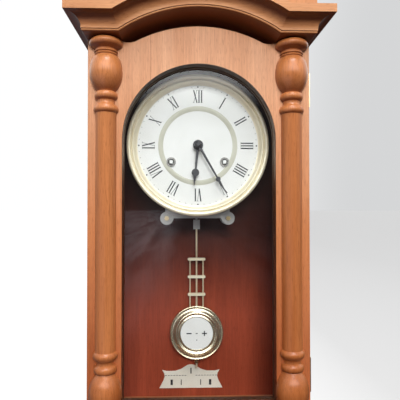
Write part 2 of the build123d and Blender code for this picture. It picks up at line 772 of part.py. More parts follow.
def make_dial():
    """Dial plate, bezel, centre ring, feet and winding eyelets."""
    front = DIAL_D + DIAL_T
    face = Circle(DIAL_R) - Circle(DIAL_HOLE_R)
    for place in WINDERS:
        face -= disc(*place, EYELET_SINK_R)
    save("dial_plate", slab(face, DIAL_D, front))
    crown = front + BEZEL_FRONT
    bezel = [
        (BEZEL_IN_R, front),
        (BEZEL_IN_R, front + BEZEL_LIP),
        (BEZEL_STEP_R, front + 2 * BEZEL_LIP),
        (BEZEL_STEP_R, crown - BEZEL_BEVEL),
        (BEZEL_STEP_R + BEZEL_BEVEL, crown),
        (BEZEL_R - BEZEL_BEVEL, crown),
        (BEZEL_R, crown - BEZEL_BEVEL),
        (BEZEL_R, DIAL_D - BEZEL_BACK),
        (DIAL_R + BEZEL_GAP, DIAL_D - BEZEL_BACK),
        (DIAL_R + BEZEL_GAP, front),
    ]
    save("dial_bezel", turned(bezel, *CENTRE))
    save("dial_centre_ring", slab(Circle(RING_OUT_R) - Circle(RING_IN_R), front, front + RING_T))
    feet = []
    for z in DIAL_FOOT_Z:
        feet += both_sides(rod(DIAL_FOOT_X, z, DIAL_FOOT_R, PLATE_FRONT, DIAL_D))
    save("dial_feet", *feet)
    eyelets = []
    for x, z in WINDERS:
        flange = Pos(x, z) * (Circle(EYELET_R) - Circle(EYELET_HOLE_R))
        collar = Pos(x, z) * (Circle(EYELET_SINK_R) - Circle(EYELET_HOLE_R))
        eyelets.append(slab(flange, front, front + EYELET_T) + slab(collar, DIAL_D, front))
    save("winding_eyelets", *eyelets)


def hand_face(length, hub, width, spade, bore):
    """A spade hand that points up, with its hub at the origin."""
    spade_at = length * SPADE_AT
    waist = width * HAND_TAPER
    shoulder = spade * HAND_TAPER
    blade = Polyline((-width, 0), (-waist, spade_at), (waist, spade_at), (width, 0), close=True)
    tip = Polyline((-shoulder, spade_at), (0, length), (shoulder, spade_at), close=True)
    return Circle(hub) + make_face(blade) + disc(0, spade_at, spade) + make_face(tip) - Circle(bore)


def make_hands():
    """Motion work behind the dial, hands and hand nut in front of it."""
    minute_front = MINUTE_HAND_D + HAND_T
    cannon = rod(*CENTRE, CANNON_R, CANNON_D, minute_front)
    cannon += slab(gear_face(CANNON_TEETH, MOTION_M), CANNON_D, CANNON_D + CANNON_T)
    save("cannon_pinion", cannon - rod(*CENTRE, ARBOR_R + FIT, CANNON_D, minute_front))

    turn = mesh_turn(CANNON_TEETH, 0, MINUTE_TEETH, bearing(CENTRE, MINUTE_WORK))
    wheel_d = CANNON_D + SHAKE
    pinion_d = wheel_d + WHEEL_T
    work = slab(gear_face(MINUTE_TEETH, MOTION_M, turn), wheel_d, pinion_d)
    work += slab(gear_face(MINUTE_PINION, HOUR_M, turn), pinion_d, HOUR_D + WHEEL_T + SHAKE)
    work -= rod(*CENTRE, ARBOR_R + FIT, 0, DIAL_D)
    save("minute_wheel", Pos(MINUTE_WORK[0], 0, MINUTE_WORK[1]) * work)

    hour_turn = mesh_turn(MINUTE_PINION, turn, HOUR_TEETH, bearing(MINUTE_WORK, CENTRE))
    hour = slab(gear_face(HOUR_TEETH, HOUR_M, hour_turn), HOUR_D, HOUR_D + WHEEL_T)
    hour += rod(*CENTRE, HOUR_PIPE_R, HOUR_D, HOUR_HAND_D + HAND_T)
    save("hour_wheel", hour - rod(*CENTRE, CANNON_R + FIT, 0, MINUTE_HAND_D))

    hour_hand = hand_face(HOUR_LENGTH, HOUR_HUB_R, HOUR_HAND_W, HOUR_SPADE_R, HOUR_PIPE_R)
    hour_hand = Rot(0, 0, -HOUR_ANGLE) * hour_hand
    save("hour_hand", slab(hour_hand, HOUR_HAND_D, HOUR_HAND_D + HAND_T))
    minute_hand = hand_face(MINUTE_LENGTH, MINUTE_HUB_R, MINUTE_HAND_W, MINUTE_SPADE_R, CANNON_R)
    minute_hand = Rot(0, 0, -MINUTE_ANGLE) * minute_hand
    nut = [
        (0, minute_front + HAND_NUT_H),
        (HAND_NUT_R / 2, minute_front + HAND_NUT_H),
        (HAND_NUT_R, minute_front + HAND_NUT_H / 2),
        (HAND_NUT_R, minute_front),
        (ARBOR_R + FIT, minute_front),
        (ARBOR_R + FIT, minute_front + HAND_NUT_H / 2),
        (0, minute_front + HAND_NUT_H / 2),
    ]
    hand = slab(minute_hand, MINUTE_HAND_D, minute_front)
    save("minute_hand", hand, turned(nut, *CENTRE))


def pinion(place, teeth, module, turn, near):
    """A pinion of the usual length on an arbor."""
    return slab(Pos(*place) * gear_face(teeth, module, turn), near, near + PINION_T)


def wheel(place, face, near):
    """A wheel of the usual thickness on an arbor."""
    return slab(Pos(*place) * face, near, near + WHEEL_T)


def make_going_train():
    """Second, centre, third and escape wheels, each riveted to its arbor."""
    turn = mesh_turn(GREAT_TEETH, 0, GREAT_PINION, bearing(TIME_WIND, SECOND))
    second = wheel(SECOND, crossed_gear(SECOND_TEETH, SECOND_M, HUB_R, PIVOT_R), SECOND_D)
    second += pinion(SECOND, GREAT_PINION, GREAT_M, turn, GREAT_D - PINION_LEAD)
    save("second_wheel", second + arbor(SECOND))

    turn = mesh_turn(SECOND_TEETH, 0, CENTRE_PINION, bearing(SECOND, CENTRE))
    centre = wheel(CENTRE, crossed_gear(CENTRE_TEETH, CENTRE_M, HUB_R, PIVOT_R), CENTRE_D)
    centre += pinion(CENTRE, CENTRE_PINION, SECOND_M, turn, SECOND_D - PINION_LEAD)
    centre += rod(*CENTRE, PIVOT_R, PLATE_D, INNER_D + SHAKE)
    end = MINUTE_HAND_D + HAND_T + HAND_NUT_H / 2 - FIT
    save("centre_wheel", centre + rod(*CENTRE, ARBOR_R, INNER_D + SHAKE, end))

    turn = mesh_turn(CENTRE_TEETH, 0, FINE_PINION, bearing(CENTRE, THIRD))
    third = wheel(THIRD, crossed_gear(THIRD_TEETH, THIRD_M, HUB_R, PIVOT_R), THIRD_D)
    third += pinion(THIRD, FINE_PINION, CENTRE_M, turn, FRONT_PLATE_D - SHAKE - PINION_T)
    save("third_wheel", third + arbor(THIRD))

    turn = mesh_turn(THIRD_TEETH, 0, FINE_PINION, bearing(THIRD, ESCAPE))
    points = []
    step = 360 / ESCAPE_TEETH
    for tooth in range(ESCAPE_TEETH):
        points.append(polar(CENTRE, ESCAPE_R, step * tooth))
        points.append(polar(CENTRE, ESCAPE_R - ESCAPE_ROOT, step * (tooth + ESCAPE_LEAN)))
    rim = ESCAPE_R - 2 * ESCAPE_ROOT
    face = make_face(Polyline(*points, close=True)) - (Circle(rim) - Circle(HUB_R))
    face += Rectangle(2 * rim, ARM_W) + Rectangle(ARM_W, 2 * rim)
    escape = wheel(ESCAPE, face, ESCAPE_D)
    escape += pinion(ESCAPE, FINE_PINION, THIRD_M, turn, THIRD_D - PINION_LEAD)
    save("escape_wheel", escape + arbor(ESCAPE))


def ratchet_face():
    """A saw-toothed ratchet outline."""
    points = []
    step = 360 / RATCHET_TEETH
    for tooth in range(RATCHET_TEETH):
        points.append(polar(CENTRE, RATCHET_R, step * tooth))
        points.append(polar(CENTRE, RATCHET_R - RATCHET_STEP, step * (tooth + RATCHET_LEAN)))
    return make_face(Polyline(*points, close=True))


def great_wheel(place):
    """A great wheel that turns on its winding arbor, with its click beside the ratchet."""
    x, z = place
    click_x = RATCHET_R + CLICK_R + CLICK_GAP
    face = crossed_gear(GREAT_TEETH, GREAT_M, click_x + CLICK_R + CLICK_SEAT, WIND_ARBOR_R + FIT)
    click = rod(x + click_x, z, CLICK_R, GREAT_D, GREAT_D + 2 * WHEEL_T)
    return wheel(place, face, GREAT_D) + click


def winding_arbor(place):
    """A winding arbor with its ratchet and its square front end."""
    square_d = PLATE_FRONT + SQUARE_START
    body = rod(*place, WIND_ARBOR_R, INNER_D + SHAKE, square_d)
    body += rod(*place, PIVOT_R, PLATE_D, INNER_D + SHAKE)
    body += wheel(place, ratchet_face(), GREAT_D + WHEEL_T + CLICK_GAP)
    square = Pos(*place) * Rectangle(WIND_SQUARE, WIND_SQUARE)
    return body + slab(square, square_d, DIAL_D + DIAL_T + EYELET_T + SQUARE_PROUD)


def spiral_arcs(place, start, step, count):
    """Half circles that run on into one another, each larger by one step, in x and z."""
    x, z = place
    arcs = []
    for index in range(count):
        radius = start + index * step
        side = 1 if index % 2 == 0 else -1
        middle = z if side == 1 else z - step
        arcs.append(((x, middle - side * radius), (x + side * radius, middle), (x, middle + side * radius)))
    return arcs


def make_winding():
    """Great wheels, winding arbors and mainsprings."""
    save("time_great_wheel", great_wheel(TIME_WIND))
    save("strike_great_wheel", great_wheel(STRIKE_WIND))
    save("time_winding_arbor", winding_arbor(TIME_WIND))
    save("strike_winding_arbor", winding_arbor(STRIKE_WIND))
    inner = spiral_arcs(TIME_WIND, SPRING_IN_R, SPRING_PITCH / 2, 2 * SPRING_TURNS)
    outer = spiral_arcs(TIME_WIND, SPRING_IN_R + SPRING_T, SPRING_PITCH / 2, 2 * SPRING_TURNS)
    outline = Line(inner[0][0], outer[0][0]) + Line(inner[-1][2], outer[-1][2])
    for arc in inner + outer:
        outline += ThreePointArc(*arc)
    spring = slab(make_face(outline), SPRING_D, SPRING_D + SPRING_W)
    save("mainsprings", *both_sides(spring))


def make_strike_train():
    """Pin wheel, fly, hammer, coil gong and gong post."""
    turn = mesh_turn(GREAT_TEETH, 0, GREAT_PINION, bearing(STRIKE_WIND, PIN_WHEEL))
    pins = wheel(PIN_WHEEL, crossed_gear(PIN_TEETH, PIN_M, HUB_R, PIVOT_R), SECOND_D)
    pins += pinion(PIN_WHEEL, GREAT_PINION, GREAT_M, turn, GREAT_D - PINION_LEAD)
    for index in range(PIN_COUNT):
        place = polar(PIN_WHEEL, PIN_CIRCLE, 360 / PIN_COUNT * index)
        pins += rod(*place, PIN_R, SECOND_D, SECOND_D + WHEEL_T + PIN_PROUD)
    save("pin_wheel", pins + arbor(PIN_WHEEL))

    turn = mesh_turn(PIN_TEETH, 0, FLY_PINION, bearing(PIN_WHEEL, FLY))
    fly = pinion(FLY, FLY_PINION, PIN_M, turn, SECOND_D - PINION_LEAD) + arbor(FLY)
    vane = Pos(*FLY) * Rectangle(2 * FLY_R, FLY_VANE_T)
    fly += slab(vane, FLY_D, FRONT_PLATE_D - 2 * SHAKE)
    save("fly", fly)

    gong = (GONG_X, GONG_Z)
    head_low = GONG_Z + GONG_IN_R + (GONG_ARCS - 1) * GONG_STEP + GONG_WIRE + HAMMER_GAP
    head = upright(GONG_X, GONG_D, HAMMER_HEAD_R, head_low, head_low + HAMMER_HEAD_L)
    arm_end = (GONG_X, head_low + HAMMER_HEAD_L - HAMMER_ARM_R)
    arm = slab(strip(HAMMER, arm_end, 2 * HAMMER_ARM_R), GONG_D - HAMMER_ARM_R, GONG_D + HAMMER_ARM_R)
    shaft = rod(*HAMMER, ARBOR_R, GONG_D - HAMMER_ARM_R, FRONT_PLATE_D - SHAKE)
    shaft += rod(*HAMMER, PIVOT_R, FRONT_PLATE_D - SHAKE, PLATE_FRONT)
    tail_reach = hypot(PIN_WHEEL[0] - HAMMER_X, PIN_WHEEL[1] - HAMMER_Z)
    tail_reach -= PIN_CIRCLE + PIN_R + HAMMER_ARM_R + TAIL_GAP
    tail_end = polar(HAMMER, tail_reach, bearing(HAMMER, PIN_WHEEL))
    tail_d = SECOND_D + WHEEL_T + SHAKE
    tail = slab(strip(HAMMER, tail_end, 2 * HAMMER_ARM_R), tail_d, tail_d + PIN_PROUD)
    save("strike_hammer", head + arm + shaft + tail)

    arcs = spiral_arcs(gong, GONG_IN_R, GONG_STEP, GONG_ARCS)
    bend = GONG_STEP
    foot_x = GONG_X - bend
    start_z = arcs[0][0][1]
    bend_d = GONG_D - bend
    post_top = BACK_T + GONG_POST_H
    path = Line((foot_x, -post_top, start_z), (foot_x, -bend_d, start_z))
    corner = (GONG_X - bend * sqrt(0.5), -bend_d - bend * sqrt(0.5), start_z)
    path += ThreePointArc((foot_x, -bend_d, start_z), corner, (GONG_X, -GONG_D, start_z))
    for arc in arcs:
        path += ThreePointArc(*[(x, -GONG_D, z) for x, z in arc])
    end_x, end_z = arcs[-1][2]
    path += Line((end_x, -GONG_D, end_z), (end_x - 2 * GONG_WIRE, -GONG_D, end_z))
    section = Plane((foot_x, -post_top, start_z), z_dir=(0, -1, 0)) * Circle(GONG_WIRE)
    save("gong_coil", sweep(section, path=Wire(path.edges())))
    save("gong_post", rod(foot_x, start_z, GONG_POST_R, BACK_T, post_top))
    print("gong coil: least gap to itself", round(coil_gap(arcs), 2), "mm")


def coil_gap(arcs):
    """The least clear distance between neighbouring turns of the gong, on sampled points."""
    points = []
    for index, (start, side, end) in enumerate(arcs):
        middle = (start[1] + end[1]) / 2
        radius = abs(side[0] - start[0])
        turn = 1 if side[0] > start[0] else -1
        for step in range(24):
            angle = radians(180 * step / 24 - 90)
            place = (start[0] + turn * radius * cos(angle), middle + turn * radius * sin(angle))
            points.append((index + step / 24, place))
    gaps = [
        hypot(p[0] - q[0], p[1] - q[1])
        for s, p in points
        for t, q in points
        if t - s > 1
    ]
    return min(gaps) - 2 * GONG_WIRE


def make_escapement():
    """The verge with its pallets and crutch."""
    arm_d = ESCAPE_D - SHAKE
    reach = ESCAPE_R + VERGE_CLEAR
    anchor = disc(*SWING, VERGE_HUB_R)
    for side in (-1, 1):
        pallet = polar(ESCAPE, reach + VERGE_W / 2, 90 + side * VERGE_SPAN)
        shoulder = (pallet[0], pallet[1] + VERGE_RISE)
        anchor += strip(SWING, shoulder, VERGE_W)
        anchor += strip(shoulder, pallet, VERGE_W)
    verge = slab(anchor, arm_d, ESCAPE_D + WHEEL_T + SHAKE)
    verge += rod(*SWING, ARBOR_R, CRUTCH_D - CRUTCH_R, FRONT_PLATE_D - SHAKE)
    verge += rod(*SWING, PIVOT_R, FRONT_PLATE_D - SHAKE, PLATE_FRONT)
    verge += upright(0, CRUTCH_D, CRUTCH_R, CRUTCH_FOOT, SWING_Z)
    prong_x = LEADER_R + CRUTCH_R + CRUTCH_PLAY
    bar = rect(-prong_x, prong_x, CRUTCH_FOOT - CRUTCH_R, CRUTCH_FOOT + CRUTCH_R)
    verge += slab(bar, CRUTCH_D - CRUTCH_R, CRUTCH_D + CRUTCH_R)
    for side in (-prong_x, prong_x):
        verge += rod(side, CRUTCH_FOOT, CRUTCH_R, PEND_D - LEADER_R, CRUTCH_D)
    save("verge", verge)


def make_pendulum():
    """Suspension, leader with hook, grid of rods and bars, bob, disc and rating nut."""
    rear = PEND_D - SUSPENSION_W / 2
    fore = PEND_D + SUSPENSION_W / 2
    spring = block(-SUSPENSION_T / 2, SUSPENSION_T / 2, rear, fore, SUSPENSION_LOW, SWING_Z)
    pin = rod(*SWING, SUSPENSION_PIN_R, rear - COCK_GAP - COCK_LUG, fore + COCK_GAP + COCK_LUG_FRONT)
    save("suspension_spring", spring + pin)

    clamp_low = SUSPENSION_LOW - CLAMP_H
    leader = block(-CLAMP_HALF, CLAMP_HALF, rear, fore, clamp_low, SUSPENSION_LOW)
    leader += upright(0, PEND_D, LEADER_R, LEADER_LOW, clamp_low)
    hook_low = LEADER_LOW - HOOK_H
    hook = block(-HOOK_W / 2, HOOK_W / 2, PEND_D - HOOK_T / 2, PEND_D + HOOK_T / 2, hook_low, LEADER_LOW)
    socket = upright(0, PEND_D, ROD_R, hook_low, hook_low + HOOK_H / 2)
    save("pendulum_leader", leader + hook - socket)

    bars = []
    for z in BAR_Z:
        face = Pos(0, z) * SlotOverall(2 * BAR_HALF, BAR_H)
        bars.append(slab(face, PEND_D - BAR_D / 2, PEND_D + BAR_D / 2))
    side_end = BOB_Z + BOB_R - SIDE_ROD_SEAT
    rods = [upright(0, PEND_D, ROD_R, NUT_LOW, hook_low + HOOK_H / 2)]
    rods += both_sides(upright(SIDE_ROD_X, PEND_D, SIDE_ROD_R, side_end, BAR_Z[0] + BAR_H / 4))
    drilled = Compound(rods)
    save("pendulum_rods", *rods)
    save("pendulum_crossbars", *[bar - drilled for bar in bars])

    back = PEND_D - BOB_T / 2
    crown = PEND_D + BOB_T / 2
    bob = [
        (0, back + BOB_DISH),
        (BOB_FACE_R, back + BOB_DISH),
        (BOB_RIM_R, back),
        (BOB_R, PEND_D - BOB_RIM_T / 2),
        (BOB_R, PEND_D + BOB_RIM_T / 2),
        (BOB_RIM_R, crown),
        (BOB_FACE_R, crown - BOB_DISH),
        (0, crown - BOB_DISH),
    ]
    save("pendulum_bob", turned(bob, 0, BOB_Z) - drilled)
    disc_d = crown - BOB_DISH
    save("bob_disc", rod(0, BOB_Z, BOB_FACE_R, disc_d, disc_d + BOB_DISC_T))
    nut_top = BOB_Z - BOB_R - SHAKE
    nut = upright(0, PEND_D, RATING_R, nut_top - RATING_H, nut_top) - drilled
    save("rating_nut", nut)


def make_beat_plate():
    """The plate on the back board that the pendulum's tip is read against."""
    waist_z = (BEAT_TOP + BEAT_LOW) / 2
    right = ThreePointArc(
        (BEAT_LOW_HALF, BEAT_LOW), (BEAT_WAIST_HALF, waist_z), (BEAT_TOP_HALF, BEAT_TOP)
    )
    right += Polyline(
        (BEAT_TOP_HALF, BEAT_TOP), (BEAT_PEAK, BEAT_TOP + BEAT_PEAK / 2), (0, BEAT_TOP + BEAT_PEAK)
    )
    outline = right + mirror(right, about=Plane.YZ)
    outline += Line((BEAT_LOW_HALF, BEAT_LOW), (-BEAT_LOW_HALF, BEAT_LOW))
    save("beat_plate", slab(Pos(BEAT_X, 0) * make_face(outline), BACK_T, BACK_T + BEAT_T))


def main():
    os.makedirs("parts", exist_ok=True)
    make_case()
    make_door()
    make_hinges()
    make_movement_frame()
    make_dial()
    make_hands()
    make_going_train()
    make_winding()
    make_strike_train()
    make_escapement()
    make_pendulum()
    make_beat_plate()


main()
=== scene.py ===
# %% [markdown]
# # A pendulum wall clock
# The clock is a glazed wooden case with an arched hood, turned half columns, a round dial and
# a pendulum. Its wood, wheels and plates are already solid, in one shared frame. Here they
# get their finishes, and the pieces that are print, polish or soft edge are modelled.

# %% Load the clock as a fixed frame
import bpy
from math import cos, pi, radians, sin
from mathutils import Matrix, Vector


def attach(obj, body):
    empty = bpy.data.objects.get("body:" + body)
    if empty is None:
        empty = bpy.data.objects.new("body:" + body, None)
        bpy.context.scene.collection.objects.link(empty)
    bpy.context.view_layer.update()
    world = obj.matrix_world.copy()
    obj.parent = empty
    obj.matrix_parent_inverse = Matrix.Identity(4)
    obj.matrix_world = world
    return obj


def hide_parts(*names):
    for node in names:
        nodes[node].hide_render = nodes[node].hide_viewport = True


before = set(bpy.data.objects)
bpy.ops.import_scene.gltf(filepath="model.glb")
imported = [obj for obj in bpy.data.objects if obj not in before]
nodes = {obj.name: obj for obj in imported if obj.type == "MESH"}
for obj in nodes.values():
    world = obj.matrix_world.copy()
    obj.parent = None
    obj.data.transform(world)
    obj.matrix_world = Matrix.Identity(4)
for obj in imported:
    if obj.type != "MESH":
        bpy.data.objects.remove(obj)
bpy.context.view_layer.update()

# %% [markdown]
# All sizes below are written in millimetres as a clockmaker would, with depths counted from
# the wall to the front and heights from the dial's centre. One function turns such a place
# into Blender's metres, where the front faces -Y and the hanger hole is the origin.

# %% Places
MM = 0.001
DIAL_DROP = 100.0


def place(x, depth, height):
    """A point in metres from its x, depth and height in millimetres."""
    return (x * MM, -depth * MM, (height - DIAL_DROP) * MM)


# %% [markdown]
# ## Finishes
# Colour, roughness and bump come from procedural textures on Object coordinates, so the
# pattern stays put on the piece in every view. A few helpers keep the node trees short. Each
# takes plain numbers, colours or the outputs of other nodes.

# %% Helpers for node trees
def new_finish(name, **constants):
    """A material, its tree and its shader, with plain numbers set on the shader's sockets."""
    material = bpy.data.materials.new(name)
    material.use_nodes = True
    tree = material.node_tree
    shader = tree.nodes["Principled BSDF"]
    for socket, value in constants.items():
        shader.inputs[socket.replace("_", " ")].default_value = value
    return material, tree, shader


def add(tree, kind, **settings):
    """Add one node and set its plain properties."""
    made = tree.nodes.new(kind)
    for key, value in settings.items():
        setattr(made, key, value)
    return made


def feed(tree, socket, value):
    """Link another node's output into a socket, or set a plain number or colour on it."""
    if isinstance(value, bpy.types.NodeSocket):
        tree.links.new(value, socket)
    elif isinstance(value, tuple):
        socket.default_value = (*value, 1.0)
    else:
        socket.default_value = value


print("finishes that came with the frame:", len(bpy.data.materials))

# %% [markdown]
# Values come from places on a piece and from sums, and a ramp turns a value into a tone.

# %% Values and tones
WHITE = (1.0, 1.0, 1.0)


def axes(tree, vector):
    """The X, Y and Z of a vector, by name."""
    made = add(tree, "ShaderNodeSeparateXYZ")
    feed(tree, made.inputs["Vector"], vector)
    return made.outputs


def object_axes(tree):
    """The X, Y and Z of a place on the piece."""
    return axes(tree, add(tree, "ShaderNodeTexCoord").outputs["Object"])


def computed(tree, operation, *values, clamp=False):
    """A sum, product or comparison of values."""
    made = add(tree, "ShaderNodeMath", operation=operation, use_clamp=clamp)
    for socket, value in zip(made.inputs, values):
        feed(tree, socket, value)
    return made.outputs["Value"]


def mapped(tree, source, start, end, low=0.0, high=1.0, easing="LINEAR"):
    """A value that is low where the source is at its start, and high where it is at its end."""
    made = add(tree, "ShaderNodeMapRange", interpolation_type=easing)
    limits = {"From Min": start, "From Max": end, "To Min": low, "To Max": high}
    for name, value in limits.items():
        feed(tree, made.inputs[name], value)
    feed(tree, made.inputs["Value"], source)
    return made.outputs["Result"]


def ramp(tree, source, stops):
    """A colour ramp on a value, from (position, colour) stops."""
    made = add(tree, "ShaderNodeValToRGB")
    elements = made.color_ramp.elements
    while len(elements) < len(stops):
        elements.new(0.5)
    for element, (position, colour) in zip(elements, stops):
        element.position = position
        element.color = (*colour, 1.0)
    feed(tree, made.inputs["Fac"], source)
    return made.outputs["Color"]


def toned(tree, colour, tone, share=1.0):
    """A colour multiplied by a tone, wholly or by a share."""
    made = add(tree, "ShaderNodeMix", data_type="RGBA", blend_type="MULTIPLY")
    feed(tree, made.inputs["Factor"], share)
    feed(tree, made.inputs["A"], colour)
    feed(tree, made.inputs["B"], tone)
    return made.outputs["Result"]


print("tone that leaves a colour as it is:", WHITE)

# %% [markdown]
# ### Painted shade and glue lines
# Four changes of tone go over the bare grain. A painted shade darkens the case and door
# towards the foot, where less light falls, and a painted shadow of the dial darkens the upper
# inside of the back board. What faces the floor gets a deeper tone, which is painted shade
# under the hood and the turnings. The window's inner edge is darkened as painted shade, and
# thin glue lines show where two staves of the arch rail meet.

# %% Painted shade and glue lines
SHADE_FOOT = -300.0
SHADE_HEAD = 80.0
INNER_DEPTH = 3.0
UNDER_FULL = -0.75
UNDER_NONE = 0.1
REVEAL_R = 90.4
REVEAL_SHADE = (0.2, 0.17, 0.15)
GLUE_HALF = 0.35
GLUE_TONE = (0.62, 0.5, 0.42)


def deepened(tree, colour, painted_shade, inner):
    """Painted shade by (share, tone) stops from foot to head, on the inner face only or all
    over.
    """
    along = object_axes(tree)
    foot, head = place(0, 0, SHADE_FOOT)[2], place(0, 0, SHADE_HEAD)[2]
    tone = ramp(tree, mapped(tree, along["Z"], foot, head), painted_shade)
    inside = computed(tree, "LESS_THAN", along["Y"], -INNER_DEPTH * MM) if inner else 1.0
    return toned(tree, colour, tone, inside)


def shaded_under(tree, colour, tone):
    """Painted shade: a deeper tone on what faces the floor."""
    facing = axes(tree, add(tree, "ShaderNodeNewGeometry").outputs["Normal"])["Z"]
    open_share = mapped(tree, facing, UNDER_FULL, UNDER_NONE)
    return toned(tree, colour, ramp(tree, open_share, [(0.0, tone), (1.0, WHITE)]))


def shaded_reveal(tree, colour):
    """Painted shade on the window's inner edge: all that lies within the arch and its jambs."""
    along = object_axes(tree)
    above = computed(tree, "MAXIMUM", computed(tree, "ADD", along["Z"], DIAL_DROP * MM), 0.0)
    flat = add(tree, "ShaderNodeCombineXYZ")
    feed(tree, flat.inputs["X"], along["X"])
    feed(tree, flat.inputs["Z"], above)
    radius = add(tree, "ShaderNodeVectorMath", operation="LENGTH")
    feed(tree, radius.inputs[0], flat.outputs["Vector"])
    inside = computed(tree, "LESS_THAN", radius.outputs["Value"], REVEAL_R * MM)
    return toned(tree, colour, REVEAL_SHADE, inside)


def glue_line(tree, colour, x):
    """A thin dark glue line down a board at x, where two staves meet."""
    near = computed(tree, "COMPARE", object_axes(tree)["X"], x * MM, GLUE_HALF * MM)
    return toned(tree, colour, GLUE_TONE, near)


print("stain runs over", SHADE_HEAD - SHADE_FOOT, "mm")

# %% [markdown]
# ### Wood
# The case is stained hardwood under a satin varnish. Three noises make it: a broad cloudy
# figure, a fine fibre and short dark pores. A noise stretched along one axis reads as grain,
# and an even one as clouds.

# %% Noise and relief
NOISE_ROUGHNESS = 0.55


def grain_noise(tree, stretch, detail, distortion=0.0):
    """A noise on Object coordinates, stretched so many times per metre along x, y and z."""
    coords = add(tree, "ShaderNodeTexCoord")
    mapping = add(tree, "ShaderNodeMapping")
    mapping.inputs["Scale"].default_value = stretch
    noise = add(tree, "ShaderNodeTexNoise")
    feed(tree, noise.inputs["Scale"], 1.0)
    feed(tree, noise.inputs["Detail"], detail)
    feed(tree, noise.inputs["Roughness"], NOISE_ROUGHNESS)
    feed(tree, noise.inputs["Distortion"], distortion)
    feed(tree, mapping.inputs["Vector"], coords.outputs["Object"])
    feed(tree, noise.inputs["Vector"], mapping.outputs["Vector"])
    return noise.outputs["Fac"]


def bumped(tree, shader, source, strength, distance):
    """A fine relief from a value."""
    made = add(tree, "ShaderNodeBump")
    feed(tree, made.inputs["Strength"], strength)
    feed(tree, made.inputs["Distance"], distance)
    feed(tree, made.inputs["Height"], source)
    feed(tree, shader.inputs["Normal"], made.outputs["Normal"])


print("noise roughness:", NOISE_ROUGHNESS)

# %% [markdown]
# All three noises are stretched along the grain. The same recipe serves uprights and
# crosspieces, with the grain turned to z or to x.

# %% Wood
FIGURE = (26.0, 2.6)
FIBRE = (620.0, 22.0)
PORES = (1500.0, 90.0)
FIGURE_STOPS = (0.3, 0.5, 0.68)
FIBRE_TONES = [(0.3, (0.72, 0.66, 0.6)), (0.62, (1.04, 1.03, 1.02))]
FIBRE_SHARE = 0.55
PORE_TONES = [(0.33, (0.55, 0.45, 0.4)), (0.4, WHITE)]
PORE_SHARE = 0.5
FIBRE_RELIEF = 0.12
FIBRE_DEPTH = 0.2 * MM
# Painted shade: the case darkens towards its foot.
CASE_PAINTED_SHADE = [(0.0, (0.80, 0.70, 0.62)), (1.0, WHITE)]


def turned_to(grain, axis):
    """Waves per metre along x, y and z for a grain's (across, along) that runs on an axis."""
    across, along = grain
    return tuple(along if name == axis else across for name in "xyz")


def wood(
    name, pale, deep, axis="z", rough=(0.34, 0.5), gloss=0.1, painted_shade=CASE_PAINTED_SHADE, inner=False,
    seams=(), under=None, reveal=False,
):
    """Varnished wood between a pale and a deep colour, with its grain along an axis."""
    material, tree, shader = new_finish(
        name, Specular_IOR_Level=0.32, Coat_Weight=gloss, Coat_Roughness=0.25,
    )
    figure = grain_noise(tree, turned_to(FIGURE, axis), detail=5.0, distortion=0.9)
    fibre = grain_noise(tree, turned_to(FIBRE, axis), detail=3.0)
    pores = grain_noise(tree, turned_to(PORES, axis), detail=1.0)
    middle = tuple((a + b) / 2 for a, b in zip(pale, deep))
    colour = ramp(tree, figure, list(zip(FIGURE_STOPS, (deep, middle, pale))))
    colour = toned(tree, colour, ramp(tree, fibre, FIBRE_TONES), FIBRE_SHARE)
    colour = toned(tree, colour, ramp(tree, pores, PORE_TONES), PORE_SHARE)
    for seam in seams:
        colour = glue_line(tree, colour, seam)
    colour = deepened(tree, colour, painted_shade, inner)
    if under:
        colour = shaded_under(tree, colour, under)
    if reveal:
        colour = shaded_reveal(tree, colour)
    feed(tree, shader.inputs["Base Color"], colour)
    feed(tree, shader.inputs["Roughness"], mapped(tree, fibre, 0.0, 1.0, *rough))
    bumped(tree, shader, fibre, FIBRE_RELIEF, FIBRE_DEPTH)
    return material


print("figure of an upright, waves per metre:", turned_to(FIGURE, "z"))

# %% Wood finishes, each from a pale and a deep colour
DOOR = (0.74, 0.40, 0.235), (0.60, 0.284, 0.144)
# Near black for the tympanum in the recess under the hood: painted shade.
RECESS_SHADE = (0.12, 0.05, 0.022), (0.075, 0.03, 0.013)
CASE = (0.63, 0.298, 0.13), (0.44, 0.164, 0.054)
COLUMN = (0.67, 0.256, 0.088), (0.48, 0.153, 0.042)
BACK = (0.38, 0.07, 0.032), (0.25, 0.043, 0.02)
# Near black for the glass beads: painted shade along the window's edge.
BEAD_SHADE = (0.09, 0.042, 0.022), (0.055, 0.023, 0.011)
# Painted shade: the door darkens and reddens towards its foot.
DOOR_PAINTED_SHADE = [(0.1, (0.70, 0.40, 0.24)), (0.5, (0.86, 0.61, 0.40)), (0.95, WHITE)]
# Painted shadow of the dial on the inside of the back board: dark above, clear below.
BACK_PAINTED_SHADOW = [(0.18, WHITE), (0.4, (0.3, 0.32, 0.36)), (0.48, (0.16, 0.19, 0.22))]
# Painted shade on what faces the floor.
CASE_UNDER_SHADE = (0.3, 0.17, 0.11)
COLUMN_UNDER_SHADE = (0.34, 0.22, 0.16)
RAIL_SEAMS = (-57.0, 87.0)
on_door = {"painted_shade": DOOR_PAINTED_SHADE, "under": CASE_UNDER_SHADE, "reveal": True}
door_wood = wood("door_wood", *DOOR, **on_door)
rail_wood = wood("rail_wood", *DOOR, seams=RAIL_SEAMS, **on_door)
column_wood = wood("column_wood", *COLUMN, rough=(0.24, 0.36), gloss=0.3, under=COLUMN_UNDER_SHADE)
upright_wood = wood("upright_wood", *CASE)
cross_wood = wood("cross_wood", *CASE, axis="x", under=CASE_UNDER_SHADE)
back_wood = wood("back_wood", *BACK, rough=(0.4, 0.55), painted_shade=BACK_PAINTED_SHADOW, inner=True)
bead_shade_wood = wood("bead_shade_wood", *BEAD_SHADE, rough=(0.5, 0.6), gloss=0.0)
